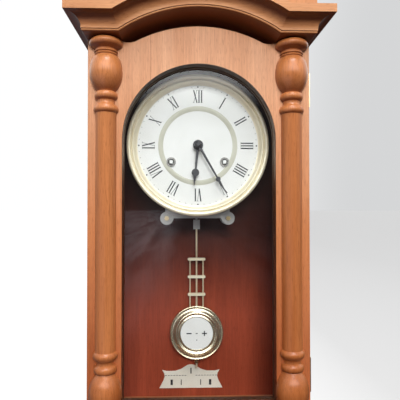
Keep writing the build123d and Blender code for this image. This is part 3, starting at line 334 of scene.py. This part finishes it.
recess_shade_wood = wood("recess_shade_wood", *RECESS_SHADE)
print("wood finishes:", [name for name in bpy.data.materials.keys() if name.endswith("_wood")])

# %% [markdown]
# ### Metal
# Brass is lacquered and a little worn, so its roughness wanders. The lacquered pieces are only
# part metal to the shader. Steel plates show a straight brushing.

# %% Metal finishes
TARNISH = (38.0, 38.0, 38.0)
TARNISH_STOPS = (0.35, 0.62)
EVEN_BRUSH = (90.0, 90.0, 90.0)
UPRIGHT_BRUSH = (900.0, 900.0, 30.0)
SCRATCH_DEPTH = 0.1 * MM


def metal(name, pale, deep, rough, brush=EVEN_BRUSH, bare=1.0, relief=0.02):
    """Metal between two colours with a wandering roughness, bare or under a lacquer."""
    material, tree, shader = new_finish(name, Metallic=bare)
    cloud = grain_noise(tree, TARNISH, detail=4.0, distortion=0.3)
    scratch = grain_noise(tree, brush, detail=3.0)
    colour = ramp(tree, cloud, list(zip(TARNISH_STOPS, (deep, pale))))
    feed(tree, shader.inputs["Base Color"], colour)
    feed(tree, shader.inputs["Roughness"], mapped(tree, scratch, 0.0, 1.0, *rough))
    bumped(tree, shader, scratch, relief, SCRATCH_DEPTH)
    return material


brass = metal("brass", (0.84, 0.70, 0.42), (0.68, 0.52, 0.26), (0.22, 0.38))
pale_brass = metal(
    "pale_brass", (0.92, 0.84, 0.65), (0.86, 0.77, 0.57), (0.3, 0.38), bare=0.3, relief=0.0,
)
bob_brass = metal(
    "bob_brass", (0.76, 0.67, 0.50), (0.64, 0.54, 0.38), (0.2, 0.3), bare=0.85, relief=0.0,
)
steel = metal(
    "steel", (0.46, 0.45, 0.43), (0.34, 0.33, 0.32), (0.3, 0.5), brush=UPRIGHT_BRUSH,
)
bright_steel = metal(
    "bright_steel", (0.86, 0.86, 0.84), (0.76, 0.76, 0.74), (0.25, 0.4), bare=0.4,
)
spring_steel = metal("spring_steel", (0.30, 0.31, 0.35), (0.18, 0.19, 0.22), (0.25, 0.4))
eyelet_steel = metal("eyelet_steel", (0.34, 0.33, 0.31), (0.22, 0.21, 0.2), (0.3, 0.45))
zinc = metal(
    "zinc", (0.74, 0.64, 0.46), (0.62, 0.52, 0.36), (0.35, 0.5), brush=UPRIGHT_BRUSH, bare=0.35,
)
print("finishes so far:", len(bpy.data.materials))

# %% [markdown]
# ### Enamel, print and glass
# The dial is white enamel, and hands and print are black paint. The pane is a thin sheet that
# lets light straight through and mirrors by its Fresnel share alone, so the lamps still reach
# the dial.

# %% Enamel, print and glass finishes
MOTTLE_STOPS = (0.3, 0.6)
ROUGH_LESS = 0.05
ROUGH_MORE = 0.06
PANE_IOR = 1.42
PANE_TINT = (0.99, 0.998, 0.995)
PANE_ROUGHNESS = 0.03


def paint(name, pale, deep, rough, coat=0.0, mottle=30.0):
    """Paint, enamel or print, with a faint mottling between two colours."""
    material, tree, shader = new_finish(name, Coat_Weight=coat, Coat_Roughness=0.12)
    cloud = grain_noise(tree, (mottle, mottle, mottle), detail=5.0, distortion=0.2)
    colour = ramp(tree, cloud, list(zip(MOTTLE_STOPS, (deep, pale))))
    sheen = mapped(tree, cloud, 0.0, 1.0, rough - ROUGH_LESS, rough + ROUGH_MORE)
    feed(tree, shader.inputs["Base Color"], colour)
    feed(tree, shader.inputs["Roughness"], sheen)
    return material


def either(tree, share, first, second):
    """One shader or another, by a share."""
    made = add(tree, "ShaderNodeMixShader")
    for socket, value in zip(made.inputs, (share, first, second)):
        feed(tree, socket, value)
    return made.outputs["Shader"]


def pane(name):
    """Clear window glass that mirrors on its outer side only, so that it's clear at a slant."""
    material, tree, shader = new_finish(name)
    tree.nodes.remove(shader)
    clear = add(tree, "ShaderNodeBsdfTransparent")
    feed(tree, clear.inputs["Color"], PANE_TINT)
    mirror = add(tree, "ShaderNodeBsdfGlossy")
    feed(tree, mirror.inputs["Color"], WHITE)
    feed(tree, mirror.inputs["Roughness"], PANE_ROUGHNESS)
    fresnel = add(tree, "ShaderNodeFresnel")
    feed(tree, fresnel.inputs["IOR"], PANE_IOR)
    inner_side = add(tree, "ShaderNodeNewGeometry").outputs["Backfacing"]
    share = computed(tree, "SUBTRACT", fresnel.outputs["Fac"], inner_side, clamp=True)
    surface = either(tree, share, clear.outputs["BSDF"], mirror.outputs["BSDF"])
    feed(tree, tree.nodes["Material Output"].inputs["Surface"], surface)
    return material


gilt_ring = paint("gilt_ring", (0.60, 0.59, 0.50), (0.50, 0.49, 0.40), 0.38)
hand_black = paint("hand_black", (0.06, 0.06, 0.066), (0.035, 0.035, 0.04), 0.34, coat=0.2)
dial_white = paint(
    "dial_white", (0.90, 0.90, 0.885), (0.84, 0.84, 0.815), 0.3, coat=0.3, mottle=18.0,
)
ink = paint("ink", (0.022, 0.022, 0.027), (0.012, 0.012, 0.016), 0.45)
cream = paint("cream", (0.80, 0.775, 0.69), (0.74, 0.71, 0.61), 0.42)
magnet_black = paint("magnet_black", (0.03, 0.03, 0.03), (0.015, 0.015, 0.015), 0.6)
glass = pane("glass")
print("finishes in all:", len(bpy.data.materials))

# %% [markdown]
# ### Dress the solid pieces
# Every solid whose shape is already right keeps it, and only changes its finish. A table of
# finish to pieces is easier to read than sixty separate lines.

# %% Give each solid its finish
DRESS = [
    (door_wood, ["door_bottom_rail", "door_stiles"]),
    (bead_shade_wood, ["glass_beads"]),
    (rail_wood, ["door_arch_rail"]),
    (column_wood, ["door_columns"]),
    (upright_wood, ["side_panels", "crest_board"]),
    (recess_shade_wood, ["tympanum_board"]),
    (cross_wood, [
        "floor_board", "top_board", "pediment_block", "cornice_arch_moulding",
        "cornice_straight_mouldings", "base_mouldings", "base_block",
    ]),
    (back_wood, ["back_board"]),
    (glass, ["door_glass"]),
    (brass, [
        "hinge_case_leaves", "hinge_door_leaves", "plate_pillars", "movement_standoffs",
        "suspension_cock", "dial_feet", "cannon_pinion", "minute_wheel", "hour_wheel",
        "second_wheel", "centre_wheel", "third_wheel", "escape_wheel", "time_great_wheel",
        "strike_great_wheel", "pin_wheel", "pendulum_bob", "rating_nut",
    ]),
    (pale_brass, ["dial_bezel", "pendulum_crossbars"]),
    (steel, [
        "hanger_plate", "movement_back_plate", "movement_front_plate", "catch_plate",
        "fly", "strike_hammer", "verge", "gong_post", "pendulum_leader",
    ]),
    (bright_steel, ["time_winding_arbor", "strike_winding_arbor"]),
    (spring_steel, ["mainsprings", "gong_coil", "suspension_spring"]),
    (eyelet_steel, ["winding_eyelets"]),
    (zinc, ["pendulum_rods"]),
    (dial_white, ["dial_plate", "bob_disc"]),
    (gilt_ring, ["dial_centre_ring"]),
    (hand_black, ["hour_hand", "minute_hand"]),
    (cream, ["beat_plate"]),
    (magnet_black, ["door_magnet"]),
]
dressed = set()
for finish, names in DRESS:
    for name in names:
        nodes[name].data.materials.clear()
        nodes[name].data.materials.append(finish)
        dressed.add(name)
print("solids without a finish:", sorted(set(nodes) - dressed))

# %% [markdown]
# ## Pieces made one by one
# Blender's operators act on what is selected. These helpers pick one piece at a time, put its
# place into its mesh, smooth it and clean it.

# %% Helpers for pieces
MERGE = 0.001 * MM
SHARP_ANGLE = 35


def alone():
    """Leave nothing selected, so that the next operator acts on its own piece only."""
    if bpy.context.object and bpy.context.object.mode != "OBJECT":
        bpy.ops.object.mode_set(mode="OBJECT")
    bpy.ops.object.select_all(action="DESELECT")


def pick(piece):
    """Select one piece and make it active."""
    alone()
    piece.select_set(True)
    bpy.context.view_layer.objects.active = piece
    return piece


def settle(piece, name):
    """Put a piece's place into its mesh and give it its name."""
    pick(piece)
    bpy.ops.object.transform_apply(location=True, rotation=True, scale=True)
    piece.name = name
    piece.data.name = name
    return piece


def open_mesh():
    """Edit the active piece, with all of its mesh selected."""
    bpy.ops.object.mode_set(mode="EDIT")
    bpy.ops.mesh.select_all(action="SELECT")


def close_mesh():
    """Stop editing."""
    bpy.ops.object.mode_set(mode="OBJECT")


def smooth(piece, angle=SHARP_ANGLE):
    """Shade a piece smooth, apart from edges sharper than an angle in degrees."""
    pick(piece)
    bpy.ops.object.shade_smooth_by_angle(angle=radians(angle))
    return piece


def tidy_mesh(piece):
    """Merge doubles and turn every face outwards."""
    pick(piece)
    open_mesh()
    bpy.ops.mesh.remove_doubles(threshold=MERGE)
    bpy.ops.mesh.normals_make_consistent(inside=False)
    close_mesh()
    return piece


def fitted(piece, finish, body):
    """Give a piece its finish and hang it on the body that carries it."""
    piece.data.materials.append(finish)
    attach(piece, body)
    print(piece.name, "faces:", len(piece.data.polygons))
    return piece


print("doubles merge within", MERGE / MM, "mm")

# %% [markdown]
# ## Turned metal
# The bezel and the bob are spun brass, with soft rolls and a groove that the solids give only
# in flats. A lathe makes both: a ring of points is laid out as the section, then spun about
# its axis. Spinning can leave doubles and inside-out faces, so the mesh is tidied after.

# %% A lathe for front-to-back axes
LATHE_STEPS = 128


def outline(points, fill="NOTHING"):
    """A closed outline through points in metres, left open or filled with one face."""
    alone()
    bpy.ops.mesh.primitive_circle_add(vertices=len(points), radius=1.0, fill_type=fill)
    piece = bpy.context.object
    for vertex, point in zip(piece.data.vertices, points):
        vertex.co = point
    return piece


def lathe(name, section, height, body, finish):
    """Spin a closed section of (radius, depth) points about a front-to-back axis."""
    piece = outline([place(radius, depth, height) for radius, depth in section])
    open_mesh()
    bpy.ops.mesh.spin(
        steps=LATHE_STEPS, angle=2 * pi, center=place(0, 0, height), axis=(0, 1, 0),
    )
    close_mesh()
    settle(piece, name)
    smooth(tidy_mesh(piece))
    return fitted(piece, finish, body)


def rolled(radius, depth, r, start, end, count):
    """Points along a round roll in a section, between two angles in degrees."""
    points = []
    for step in range(count):
        angle = radians(start + (end - start) * step / (count - 1))
        points.append((radius + r * cos(angle), depth + r * sin(angle)))
    return points


print("lathe step:", 360 / LATHE_STEPS, "degrees")

# %% [markdown]
# ### Bezel
# From outside in, the bezel has a bright round roll, a narrow groove, a second smaller roll
# and a dished step that runs down to the dial.

# %% Bezel
bezel_foot = [(84.4, 58.1), (90.2, 58.1)]
outer_roll = rolled(87.3, 65.5, 2.9, 0, 150, 11)
groove = [(84.3, 65.6), (83.9, 65.6)]
inner_roll = rolled(82.3, 65.4, 1.5, 10, 140, 7)
dish = [(80.4, 64.6), (79.0, 63.2), (77.9, 62.2), (77.1, 61.9), (77.05, 61.05), (84.4, 61.05)]
bezel_section = bezel_foot + outer_roll + groove + inner_roll + dish
bezel = lathe("bezel_spun", bezel_section, 0, "case", pale_brass)
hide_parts("dial_bezel")

# %% [markdown]
# ### Centre ring
# A thin embossed ring divides the dial's centre from its hours. Its face is slightly domed.

# %% Centre ring
ring_section = [
    (44.3, 60.4), (44.3, 61.05), (45.2, 61.3), (46.4, 61.42),
    (48.4, 61.42), (49.7, 61.3), (50.6, 61.05), (50.6, 60.4),
]
ring = lathe("centre_ring_spun", ring_section, 0, "case", gilt_ring)
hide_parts("dial_centre_ring")

# %% [markdown]
# ### Pendulum bob
# The bob is a thin brass shell with a rolled rim, a hollow band and a raised ring round its
# white disc. Its disc is a separate piece that stays as it is.

# %% Bob
BOB_HEIGHT = -251.0
bob_section = [
    (0.0, 21.9), (22.0, 21.9), (22.2, 23.1), (22.8, 23.35), (23.5, 23.2), (24.0, 22.7),
    (25.2, 22.4), (26.2, 22.8), (26.9, 23.5), (27.7, 23.9), (28.6, 23.7), (29.4, 22.9),
    (30.6, 21.6), (32.2, 20.5), (33.6, 20.1), (34.4, 20.2), (34.9, 20.8), (35.6, 21.1),
    (36.3, 20.7), (36.75, 19.6), (36.8, 18.0), (36.8, 15.6), (36.2, 14.4), (33.0, 12.4),
    (29.0, 10.4), (25.0, 10.0), (22.0, 11.2), (0.0, 11.6),
]
bob = lathe("bob_spun", bob_section, BOB_HEIGHT, "pendulum", bob_brass)
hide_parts("pendulum_bob")

# %% [markdown]
# ## Turned columns
# Each half column is turned from one section: a torus, two thin collars, a vase, two rings
# about a neck, and a plain shaft. The lower half mirrors the upper. The section is spun half
# way round the front, and the flat back that sits on the stile is filled.

# %% Column section, radius and height from the top to the middle
COLUMN_TOP = 116.1
COLUMN_MIDDLE = -107.0
torus = rolled(14.2, 111.0, 5.2, 80, -62, 13)
collars = [
    (13.6, 105.3), (12.4, 104.2), (12.1, 103.2), (12.7, 102.6), (13.5, 102.0), (13.7, 101.2),
    (13.2, 100.4), (12.4, 100.0), (12.9, 99.5), (13.4, 98.7), (13.2, 97.8), (12.6, 97.2),
]
vase = [
    (13.4, 96.6), (14.8, 95.2), (16.2, 92.9), (17.4, 89.8), (18.3, 86.0), (18.85, 81.8),
    (19.0, 77.6), (18.75, 73.4), (18.05, 69.4), (16.95, 65.8), (15.5, 62.5), (13.9, 59.7),
    (12.3, 57.5), (11.0, 56.0), (10.7, 55.3),
]
rings = [
    (11.2, 54.9), (12.3, 54.3), (13.0, 53.2), (13.35, 51.7), (13.4, 50.0), (13.1, 48.3),
    (12.3, 46.9), (11.0, 46.0), (10.1, 45.2), (9.8, 43.6), (10.0, 41.8), (10.6, 40.4),
    (11.6, 39.6), (12.6, 39.1), (12.8, 38.4), (13.6, 37.9), (14.2, 36.6), (14.45, 34.9),
    (14.3, 33.2), (13.7, 31.8), (12.7, 30.8), (12.1, 30.2), (12.0, 29.4),
]
upper = [(0.0, COLUMN_TOP)] + torus + collars + vase + rings
lower = [(radius, 2 * COLUMN_MIDDLE - height) for radius, height in reversed(upper)]
print("column section points:", len(upper) + len(lower))

# %% Columns
COLUMN_X = 108.6
COLUMN_BACK = 102.0
COLUMN_STEPS = 40
COLUMN_SHARP_ANGLE = 30


def joined(pieces, name):
    """Join several pieces into one."""
    alone()
    for piece in pieces:
        piece.select_set(True)
    bpy.context.view_layer.objects.active = pieces[0]
    bpy.ops.object.join()
    return settle(pieces[0], name)


def half_turned(name, section, x):
    """Spin a section half way round the front of a vertical axis and fill its flat back."""
    piece = outline([place(x + radius, COLUMN_BACK, height) for radius, height in section])
    open_mesh()
    bpy.ops.mesh.spin(
        steps=COLUMN_STEPS, angle=pi, center=place(x, COLUMN_BACK, 0), axis=(0, 0, 1),
    )
    bpy.ops.mesh.select_all(action="SELECT")
    bpy.ops.mesh.remove_doubles(threshold=MERGE)
    bpy.ops.mesh.select_all(action="DESELECT")
    bpy.ops.mesh.select_non_manifold(use_wire=False, use_multi_face=False, use_verts=False)
    bpy.ops.mesh.edge_face_add()
    close_mesh()
    settle(piece, name)
    return smooth(tidy_mesh(piece), COLUMN_SHARP_ANGLE)


halves = [half_turned(f"column_{x:+.0f}", upper + lower, x) for x in (-COLUMN_X, COLUMN_X)]
columns = fitted(joined(halves, "columns_turned"), column_wood, "door")
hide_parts("door_columns")

# %% [markdown]
# ## Print on the dial
# The hours are printed Roman numerals that stand with their feet to the centre, and sixty
# dots mark the minutes. Each stroke starts as a thin box at its size; its upper end is moved
# sideways to slant it, and one finished numeral is turned about the dial to its hour.

# %% Strokes of print
DIAL_FACE = 61.0
PRINT_FACE = DIAL_FACE + 0.02
PRINT_T = 0.12


def stroke(x_low, x_high, low, high, width, face=PRINT_FACE):
    """A flat stroke from one x at its lower end to another at its upper end, on a face."""
    alone()
    bpy.ops.mesh.primitive_cube_add(
        size=1.0,
        location=(0, -(face + PRINT_T / 2) * MM, (low + high) / 2 * MM),
        scale=(width * MM, PRINT_T * MM, (high - low) * MM),
    )
    piece = bpy.context.object
    bpy.ops.object.transform_apply(location=True, rotation=True, scale=True)
    for vertex in piece.data.vertices:
        share = (vertex.co.z / MM - low) / (high - low)
        vertex.co.x += (x_low + (x_high - x_low) * share) * MM
    return piece


def turn_on_dial(piece, angle):
    """Turn a piece clockwise about the dial's axis, which is still the y axis here."""
    pick(piece)
    piece.rotation_euler = (0, radians(angle), 0)
    bpy.ops.object.transform_apply(location=False, rotation=True, scale=False)
    return piece


print("print stands", round(PRINT_FACE + PRINT_T - DIAL_FACE, 2), "mm above the dial")

# %% Numerals
NUMERAL_LOW = 54.9
NUMERAL_HIGH = 71.0
THICK = 1.45
THIN = 0.45
SLANT = 2.1
SERIF_T = 0.32
SERIF_WIDTH = {"I": THICK + 1.3, "V": 2.4, "X": 2.2}
STROKES = {
    "I": [(0.0, 0.0, THICK)],
    "V": [(0.0, -SLANT, THICK), (0.0, SLANT, THIN)],
    "X": [(SLANT, -SLANT, THICK), (-SLANT, SLANT, THIN)],
}
ADVANCE = {"I": 3.3, "V": 6.4, "X": 6.2}
HOURS = ["XII", "I", "II", "III", "IIII", "V", "VI", "VII", "VIII", "IX", "X", "XI"]
HOUR_STEP = 30


def letter(kind, x):
    """The strokes of one Roman letter, centred on x, with serifs but at the foot of a V."""
    made = []
    for foot, head, width in STROKES[kind]:
        made.append(stroke(x + foot, x + head, NUMERAL_LOW, NUMERAL_HIGH, width))
        ends = [(x + head, NUMERAL_HIGH - SERIF_T)]
        if kind != "V":
            ends.append((x + foot, NUMERAL_LOW))
        for end, low in ends:
            made.append(stroke(end, end, low, low + SERIF_T, SERIF_WIDTH[kind]))
    return made


numerals = []
for hour, word in enumerate(HOURS):
    x = -sum(ADVANCE[kind] for kind in word) / 2
    strokes = []
    for kind in word:
        strokes += letter(kind, x + ADVANCE[kind] / 2)
        x += ADVANCE[kind]
    numerals.append(turn_on_dial(joined(strokes, f"hour_{hour}"), HOUR_STEP * hour))
print("numerals:", len(numerals))

# %% Minute dots
DOT_RING = 75.1
DOT_R = 0.42
FIVE_R = 0.95
DOT_SIDES = 12
MINUTE_STEP = 6


def thickened(thickness):
    """Raise the active flat piece to a thickness in millimetres, towards the front."""
    open_mesh()
    bpy.ops.mesh.extrude_region_move(TRANSFORM_OT_translate={"value": (0, -thickness * MM, 0)})
    close_mesh()


def dot(radius, minute):
    """A small printed dot on the minute ring."""
    alone()
    bpy.ops.mesh.primitive_circle_add(
        vertices=DOT_SIDES, radius=radius * MM, fill_type="NGON",
        location=(0, -PRINT_FACE * MM, DOT_RING * MM), rotation=(pi / 2, 0, 0),
    )
    piece = bpy.context.object
    bpy.ops.object.transform_apply(location=True, rotation=True, scale=True)
    thickened(PRINT_T)
    return turn_on_dial(piece, MINUTE_STEP * minute)


dots = [dot(FIVE_R if minute % 5 == 0 else DOT_R, minute) for minute in range(60)]
dial_print = joined(numerals + dots, "dial_print")
dial_print.location = (0, 0, -DIAL_DROP * MM)
settle(dial_print, "dial_print")
fitted(tidy_mesh(dial_print), ink, "case")

# %% [markdown]
# ## Marks on the bob and the beat plate
# The bob's disc carries plain slow and fast signs, and the beat plate carries ticks that the
# pendulum's tip is read against. Both are printed, so they are thin strokes again.

# %% Signs on the bob
DISC_FACE = 23.02
SIGN_X = 10.5
SIGN_LONG = 7.0
SIGN_THICK = 1.5
DASH = (2.6, 1.0)
POINT = (1.2, 1.2)
POINT_DROP = 9.0


def mark(x, height, wide, tall, face):
    """A flat printed bar centred at a place."""
    low = height - tall / 2 - DIAL_DROP
    return stroke(x, x, low, low + tall, wide, face)


def printed(bars, name, body):
    """Join printed bars, ink them and let them ride on a body."""
    return fitted(tidy_mesh(joined(bars, name)), ink, body)


signs = [mark(x, BOB_HEIGHT, SIGN_LONG, SIGN_THICK, DISC_FACE) for x in (-SIGN_X, SIGN_X)]
signs.append(mark(SIGN_X, BOB_HEIGHT, SIGN_THICK, SIGN_LONG, DISC_FACE + PRINT_T))
signs.append(mark(0, BOB_HEIGHT, *DASH, DISC_FACE))
signs.append(mark(0, BOB_HEIGHT - POINT_DROP, *POINT, DISC_FACE))
printed(signs, "bob_signs", "pendulum")

# %% Beat plate
BEAT_BACK = 6.0
BEAT_FACE = 6.82
BEAT_X = -7.5
right_edge = [
    (44.2, -332.0), (38.6, -321.4), (36.7, -315.6), (37.5, -311.2), (40.2, -306.9),
    (33.9, -308.4), (22.2, -308.3), (14.2, -305.9), (9.0, -302.6), (5.0, -300.3), (1.5, -299.4),
]
plate_edge = right_edge + [(-x, height) for x, height in reversed(right_edge)]
plate = outline([place(BEAT_X + x, BEAT_BACK, height) for x, height in plate_edge], "NGON")
thickened(BEAT_FACE - BEAT_BACK)
settle(plate, "beat_plate_cut")
fitted(tidy_mesh(plate), cream, "case")
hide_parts("beat_plate")

# %% Ticks on the beat plate
TICK_HEIGHT = -324.0
TICK_TALL = 7.6
TICKS = [(-27.0, 3.2), (-13.6, 1.2), (13.6, 1.2), (27.0, 3.2)]
ZERO_TICK = (1.6, 8.0)
ZERO_RISE = 16.0
DASH_RISE = 9.5
DASH_STEP = 3.9
DASH_SIZE = (2.6, 0.7)
DASHES_A_SIDE = range(2, 10)
ticks = [mark(BEAT_X + x, TICK_HEIGHT, wide, TICK_TALL, BEAT_FACE) for x, wide in TICKS]
ticks.append(mark(BEAT_X, TICK_HEIGHT + ZERO_RISE, *ZERO_TICK, BEAT_FACE))
for step in DASHES_A_SIDE:
    for x in (-DASH_STEP * step, DASH_STEP * step):
        ticks.append(mark(BEAT_X + x, TICK_HEIGHT + DASH_RISE, *DASH_SIZE, BEAT_FACE))
printed(ticks, "beat_ticks", "case")

# %% [markdown]
# ## Screws
# Small brass screws with a slot hold the hinge leaves. One head is modelled: a low disc,
# bevelled, with a slot that is cut by bisecting its top into three strips and sinking the
# middle one. The rest are copies with their own meshes.

# %% Screw head
HEAD_R = 2.2
HEAD_T = 0.7
HEAD_SIDES = 32
SLOT_HALF = 0.3
SLOT_DEPTH = 0.45
HEAD_EDGE = 0.12
FACES_UP = 0.9


def screw_head(name):
    """One slotted head, its axis along z, its seat at the origin."""
    alone()
    bpy.ops.mesh.primitive_cylinder_add(
        vertices=HEAD_SIDES, radius=HEAD_R * MM, depth=HEAD_T * MM,
    )
    piece = bpy.context.object
    piece.location = (0, 0, HEAD_T / 2 * MM)
    settle(piece, name)
    for side in (-SLOT_HALF, SLOT_HALF):
        open_mesh()
        bpy.ops.mesh.bisect(plane_co=(side * MM, 0, 0), plane_no=(1, 0, 0))
    bpy.ops.mesh.select_all(action="DESELECT")
    close_mesh()
    for face in piece.data.polygons:
        face.select = face.normal.z > FACES_UP and abs(face.center.x) < SLOT_HALF * MM / 2
    bpy.ops.object.mode_set(mode="EDIT")
    bpy.ops.mesh.select_mode(type="FACE")
    bpy.ops.mesh.extrude_region_move(TRANSFORM_OT_translate={"value": (0, 0, -SLOT_DEPTH * MM)})
    close_mesh()
    tidy_mesh(piece)
    bevel = piece.modifiers.new("edge", "BEVEL")
    bevel.width = HEAD_EDGE * MM
    bevel.segments = 2
    bevel.limit_method = "ANGLE"
    bpy.ops.object.modifier_apply(modifier="edge")
    return smooth(piece)


master = screw_head("screw_master")
print("screw head faces:", len(master.data.polygons))

# %% Screws on the hinge leaves
FACE_RIGHT = (0, pi / 2, 0)
HINGES = (60.0, -275.0)
SCREW_RISE = 13.0
CASE_SEAT = (129.2, 71.0)
DOOR_SEAT = (131.2, 92.5)


def screws(name, seat, body):
    """Copies of the head on both leaves at a seat's x and depth, facing right."""
    made = []
    for hinge in HINGES:
        for rise in (-SCREW_RISE, SCREW_RISE):
            head = master.copy()
            head.data = master.data.copy()
            bpy.context.collection.objects.link(head)
            head.rotation_euler = FACE_RIGHT
            head.location = place(*seat, hinge + rise)
            made.append(head)
    return fitted(joined(made, name), brass, body)


screws("hinge_case_screws", CASE_SEAT, "case")
screws("hinge_door_screws", DOOR_SEAT, "door")
bpy.data.objects.remove(master)

# %% [markdown]
# ## Studio
# A camera stands in front of the clock at the distance that the picture's perspective gives.
# It is a little left of the middle, and is turned to the right and tilted up by a degree or
# two, and the picture's centre lies a little off the lens's axis. A pale floor, a pale surround
# and two soft lamps, one high and one in front, light the clock evenly.

# %% Camera
FOCAL = 390.0
PICTURE = 400.0
SENSOR = 36.0
NEAR_CLIP = 0.01
EYE = (-20.9, 557.6, -78.4)
TURN = -1.62
TILT = 0.83
CENTRE = (192.5, 201.4)
camera_data = bpy.data.cameras.new("camera")
camera_data.sensor_width = SENSOR
camera_data.lens = FOCAL / PICTURE * SENSOR
camera_data.shift_x = (PICTURE / 2 - CENTRE[0]) / PICTURE
camera_data.shift_y = (CENTRE[1] - PICTURE / 2) / PICTURE
camera_data.clip_start = NEAR_CLIP
camera = bpy.data.objects.new("camera", camera_data)
camera.location = place(*EYE)
camera.rotation_euler = (radians(90.0 + TILT), 0, radians(TURN))
bpy.context.scene.collection.objects.link(camera)
bpy.context.scene.camera = camera
print("lens:", round(camera_data.lens, 2), "mm")

# %% [markdown]
# The floor is a plain pale tone to the camera, mixed with a lit share that keeps the clock's
# shadow. To bounced light it is dim, so that it doesn't light the clock from below. Only what
# is mirrored sees a pale streaky patch on it at the left, which is the sheen low on the glass.
# The patch fades along y and x, by rows of start and end in metres and the share at both.

# %% Floor finish
FLOOR_DIM = (0.2, 0.2, 0.2)
FLOOR_PALE = (0.8, 0.8, 0.8)
FLOOR_TONES = [(0.0, (1.25, 1.25, 1.25)), (0.3, (0.84, 0.84, 0.84)), (1.0, (0.79, 0.79, 0.79))]
FLOOR_SHOWN = 0.75
STREAKS = (8.0, 0.8, 1.0)
STREAK_TONES = [(0.36, (0.5, 0.46, 0.5)), (0.64, (1.7, 1.6, 1.75))]
PATCH_DEEP = (-0.7, -0.35, 1.0, 0.25)
PATCH_LEFT = (-0.24, 0.0, 1.0, 0.14)


def glowing(tree, colour, strength=1.0):
    """A tone that is shown as it is, at a strength."""
    made = add(tree, "ShaderNodeEmission")
    feed(tree, made.inputs["Color"], colour)
    feed(tree, made.inputs["Strength"], strength)
    return made.outputs["Emission"]


def floor_finish(name):
    """Floor paint: plain to the camera, dim to bounced light, with a patch for mirrors."""
    material, tree, shader = new_finish(name, Roughness=0.9)
    along = object_axes(tree)
    rays = add(tree, "ShaderNodeLightPath").outputs
    lit = ramp(tree, rays["Is Camera Ray"], [(0.0, FLOOR_DIM), (1.0, FLOOR_PALE)])
    feed(tree, shader.inputs["Base Color"], lit)
    plain = glowing(tree, ramp(tree, along["X"], FLOOR_TONES))
    share = computed(tree, "MULTIPLY", rays["Is Camera Ray"], FLOOR_SHOWN)
    seen = either(tree, share, shader.outputs["BSDF"], plain)
    streaks = ramp(tree, grain_noise(tree, STREAKS, detail=1.5, distortion=0.4), STREAK_TONES)
    deep = mapped(tree, along["Y"], *PATCH_DEEP, easing="SMOOTHSTEP")
    left = mapped(tree, along["X"], *PATCH_LEFT, easing="SMOOTHSTEP")
    patch = glowing(tree, streaks, computed(tree, "MULTIPLY", deep, left))
    surface = either(tree, rays["Is Glossy Ray"], seen, patch)
    feed(tree, tree.nodes["Material Output"].inputs["Surface"], surface)
    return material


floor_paint = floor_finish("floor_paint")
print("floor nodes:", len(floor_paint.node_tree.nodes))

# %% Floor
FLOOR_HEIGHT = -358.8
FLOOR_SIZE = 60.0
alone()
bpy.ops.mesh.primitive_plane_add(size=FLOOR_SIZE, location=place(0, 0, FLOOR_HEIGHT))
floor = bpy.context.object
settle(floor, "floor")
floor.data.materials.append(floor_paint)
print("floor at", round((FLOOR_HEIGHT - DIAL_DROP) * MM, 4), "m")

# %% [markdown]
# The surround has three jobs. The camera sees a plain pale wall. Metal and glass mirror a
# bright sky high in front and a dim room below it. Everything else is lit by a soft dome that
# is brighter above and dark below. Each row is an axis, where a change starts and ends on it,
# and the strength at both ends.

# %% Surround
WALL = ("X", 0.05, 0.42, 1.02, 0.68)
SKY_RISE = ("Z", 0.24, 0.335, 0.15, 6.5)
SKY_REACH = ("Y", -0.85, -0.6, 6.5, 1.5)
ROOM = ("Y", -0.88, -0.6, 0.22, 0.6)
DOME = ("Z", -0.05, 0.6, 0.02, 0.36)
DAYLIGHT = (0.98, 0.99, 1.0)
world = bpy.data.worlds.new("surround")
world.use_nodes = True
bpy.context.scene.world = world
around = world.node_tree
around.nodes.clear()
heading = axes(around, add(around, "ShaderNodeTexCoord").outputs["Generated"])


def faded(axis, start, end, low, high):
    """A smooth change along one direction of the surround, from low to high."""
    return mapped(around, heading[axis], start, end, low, high, easing="SMOOTHSTEP")


def daylight(strength):
    """A background whose strength is a value."""
    made = add(around, "ShaderNodeBackground")
    feed(around, made.inputs["Color"], DAYLIGHT)
    feed(around, made.inputs["Strength"], strength)
    return made.outputs["Background"]


sky = computed(around, "MINIMUM", faded(*SKY_RISE), faded(*SKY_REACH))
sky_and_room = computed(around, "MAXIMUM", sky, faded(*ROOM))
rays = add(around, "ShaderNodeLightPath").outputs
mirrored = computed(around, "MAXIMUM", rays["Is Glossy Ray"], rays["Is Transmission Ray"])
unseen = either(around, mirrored, daylight(faded(*DOME)), daylight(sky_and_room))
everything = either(around, rays["Is Camera Ray"], unseen, daylight(faded(*WALL)))
feed(around, add(around, "ShaderNodeOutputWorld").inputs["Surface"], everything)
print("surround nodes:", len(around.nodes))

# %% Lamps
LAMP_AIM = (0, 0, -0.2)


def soft_lamp(name, at, wide, tall, watts):
    """A rectangular soft lamp at a place in metres, aimed at the clock."""
    data = bpy.data.lights.new(name, "AREA")
    data.shape = "RECTANGLE"
    data.size = wide
    data.size_y = tall
    data.energy = watts
    lamp = bpy.data.objects.new(name, data)
    bpy.context.scene.collection.objects.link(lamp)
    lamp.location = at
    lamp.rotation_euler = (Vector(LAMP_AIM) - Vector(at)).to_track_quat("-Z", "Y").to_euler()
    print(name, watts, "W")
    return lamp


soft_lamp("sky_lamp", at=(0.15, -1.05, 1.45), wide=0.7, tall=0.5, watts=15.0)
front = soft_lamp("front_lamp", at=(0.1, -1.9, 0.66), wide=1.0, tall=0.4, watts=30.5)
front.visible_glossy = False
bpy.context.scene.view_settings.view_transform = "Standard"
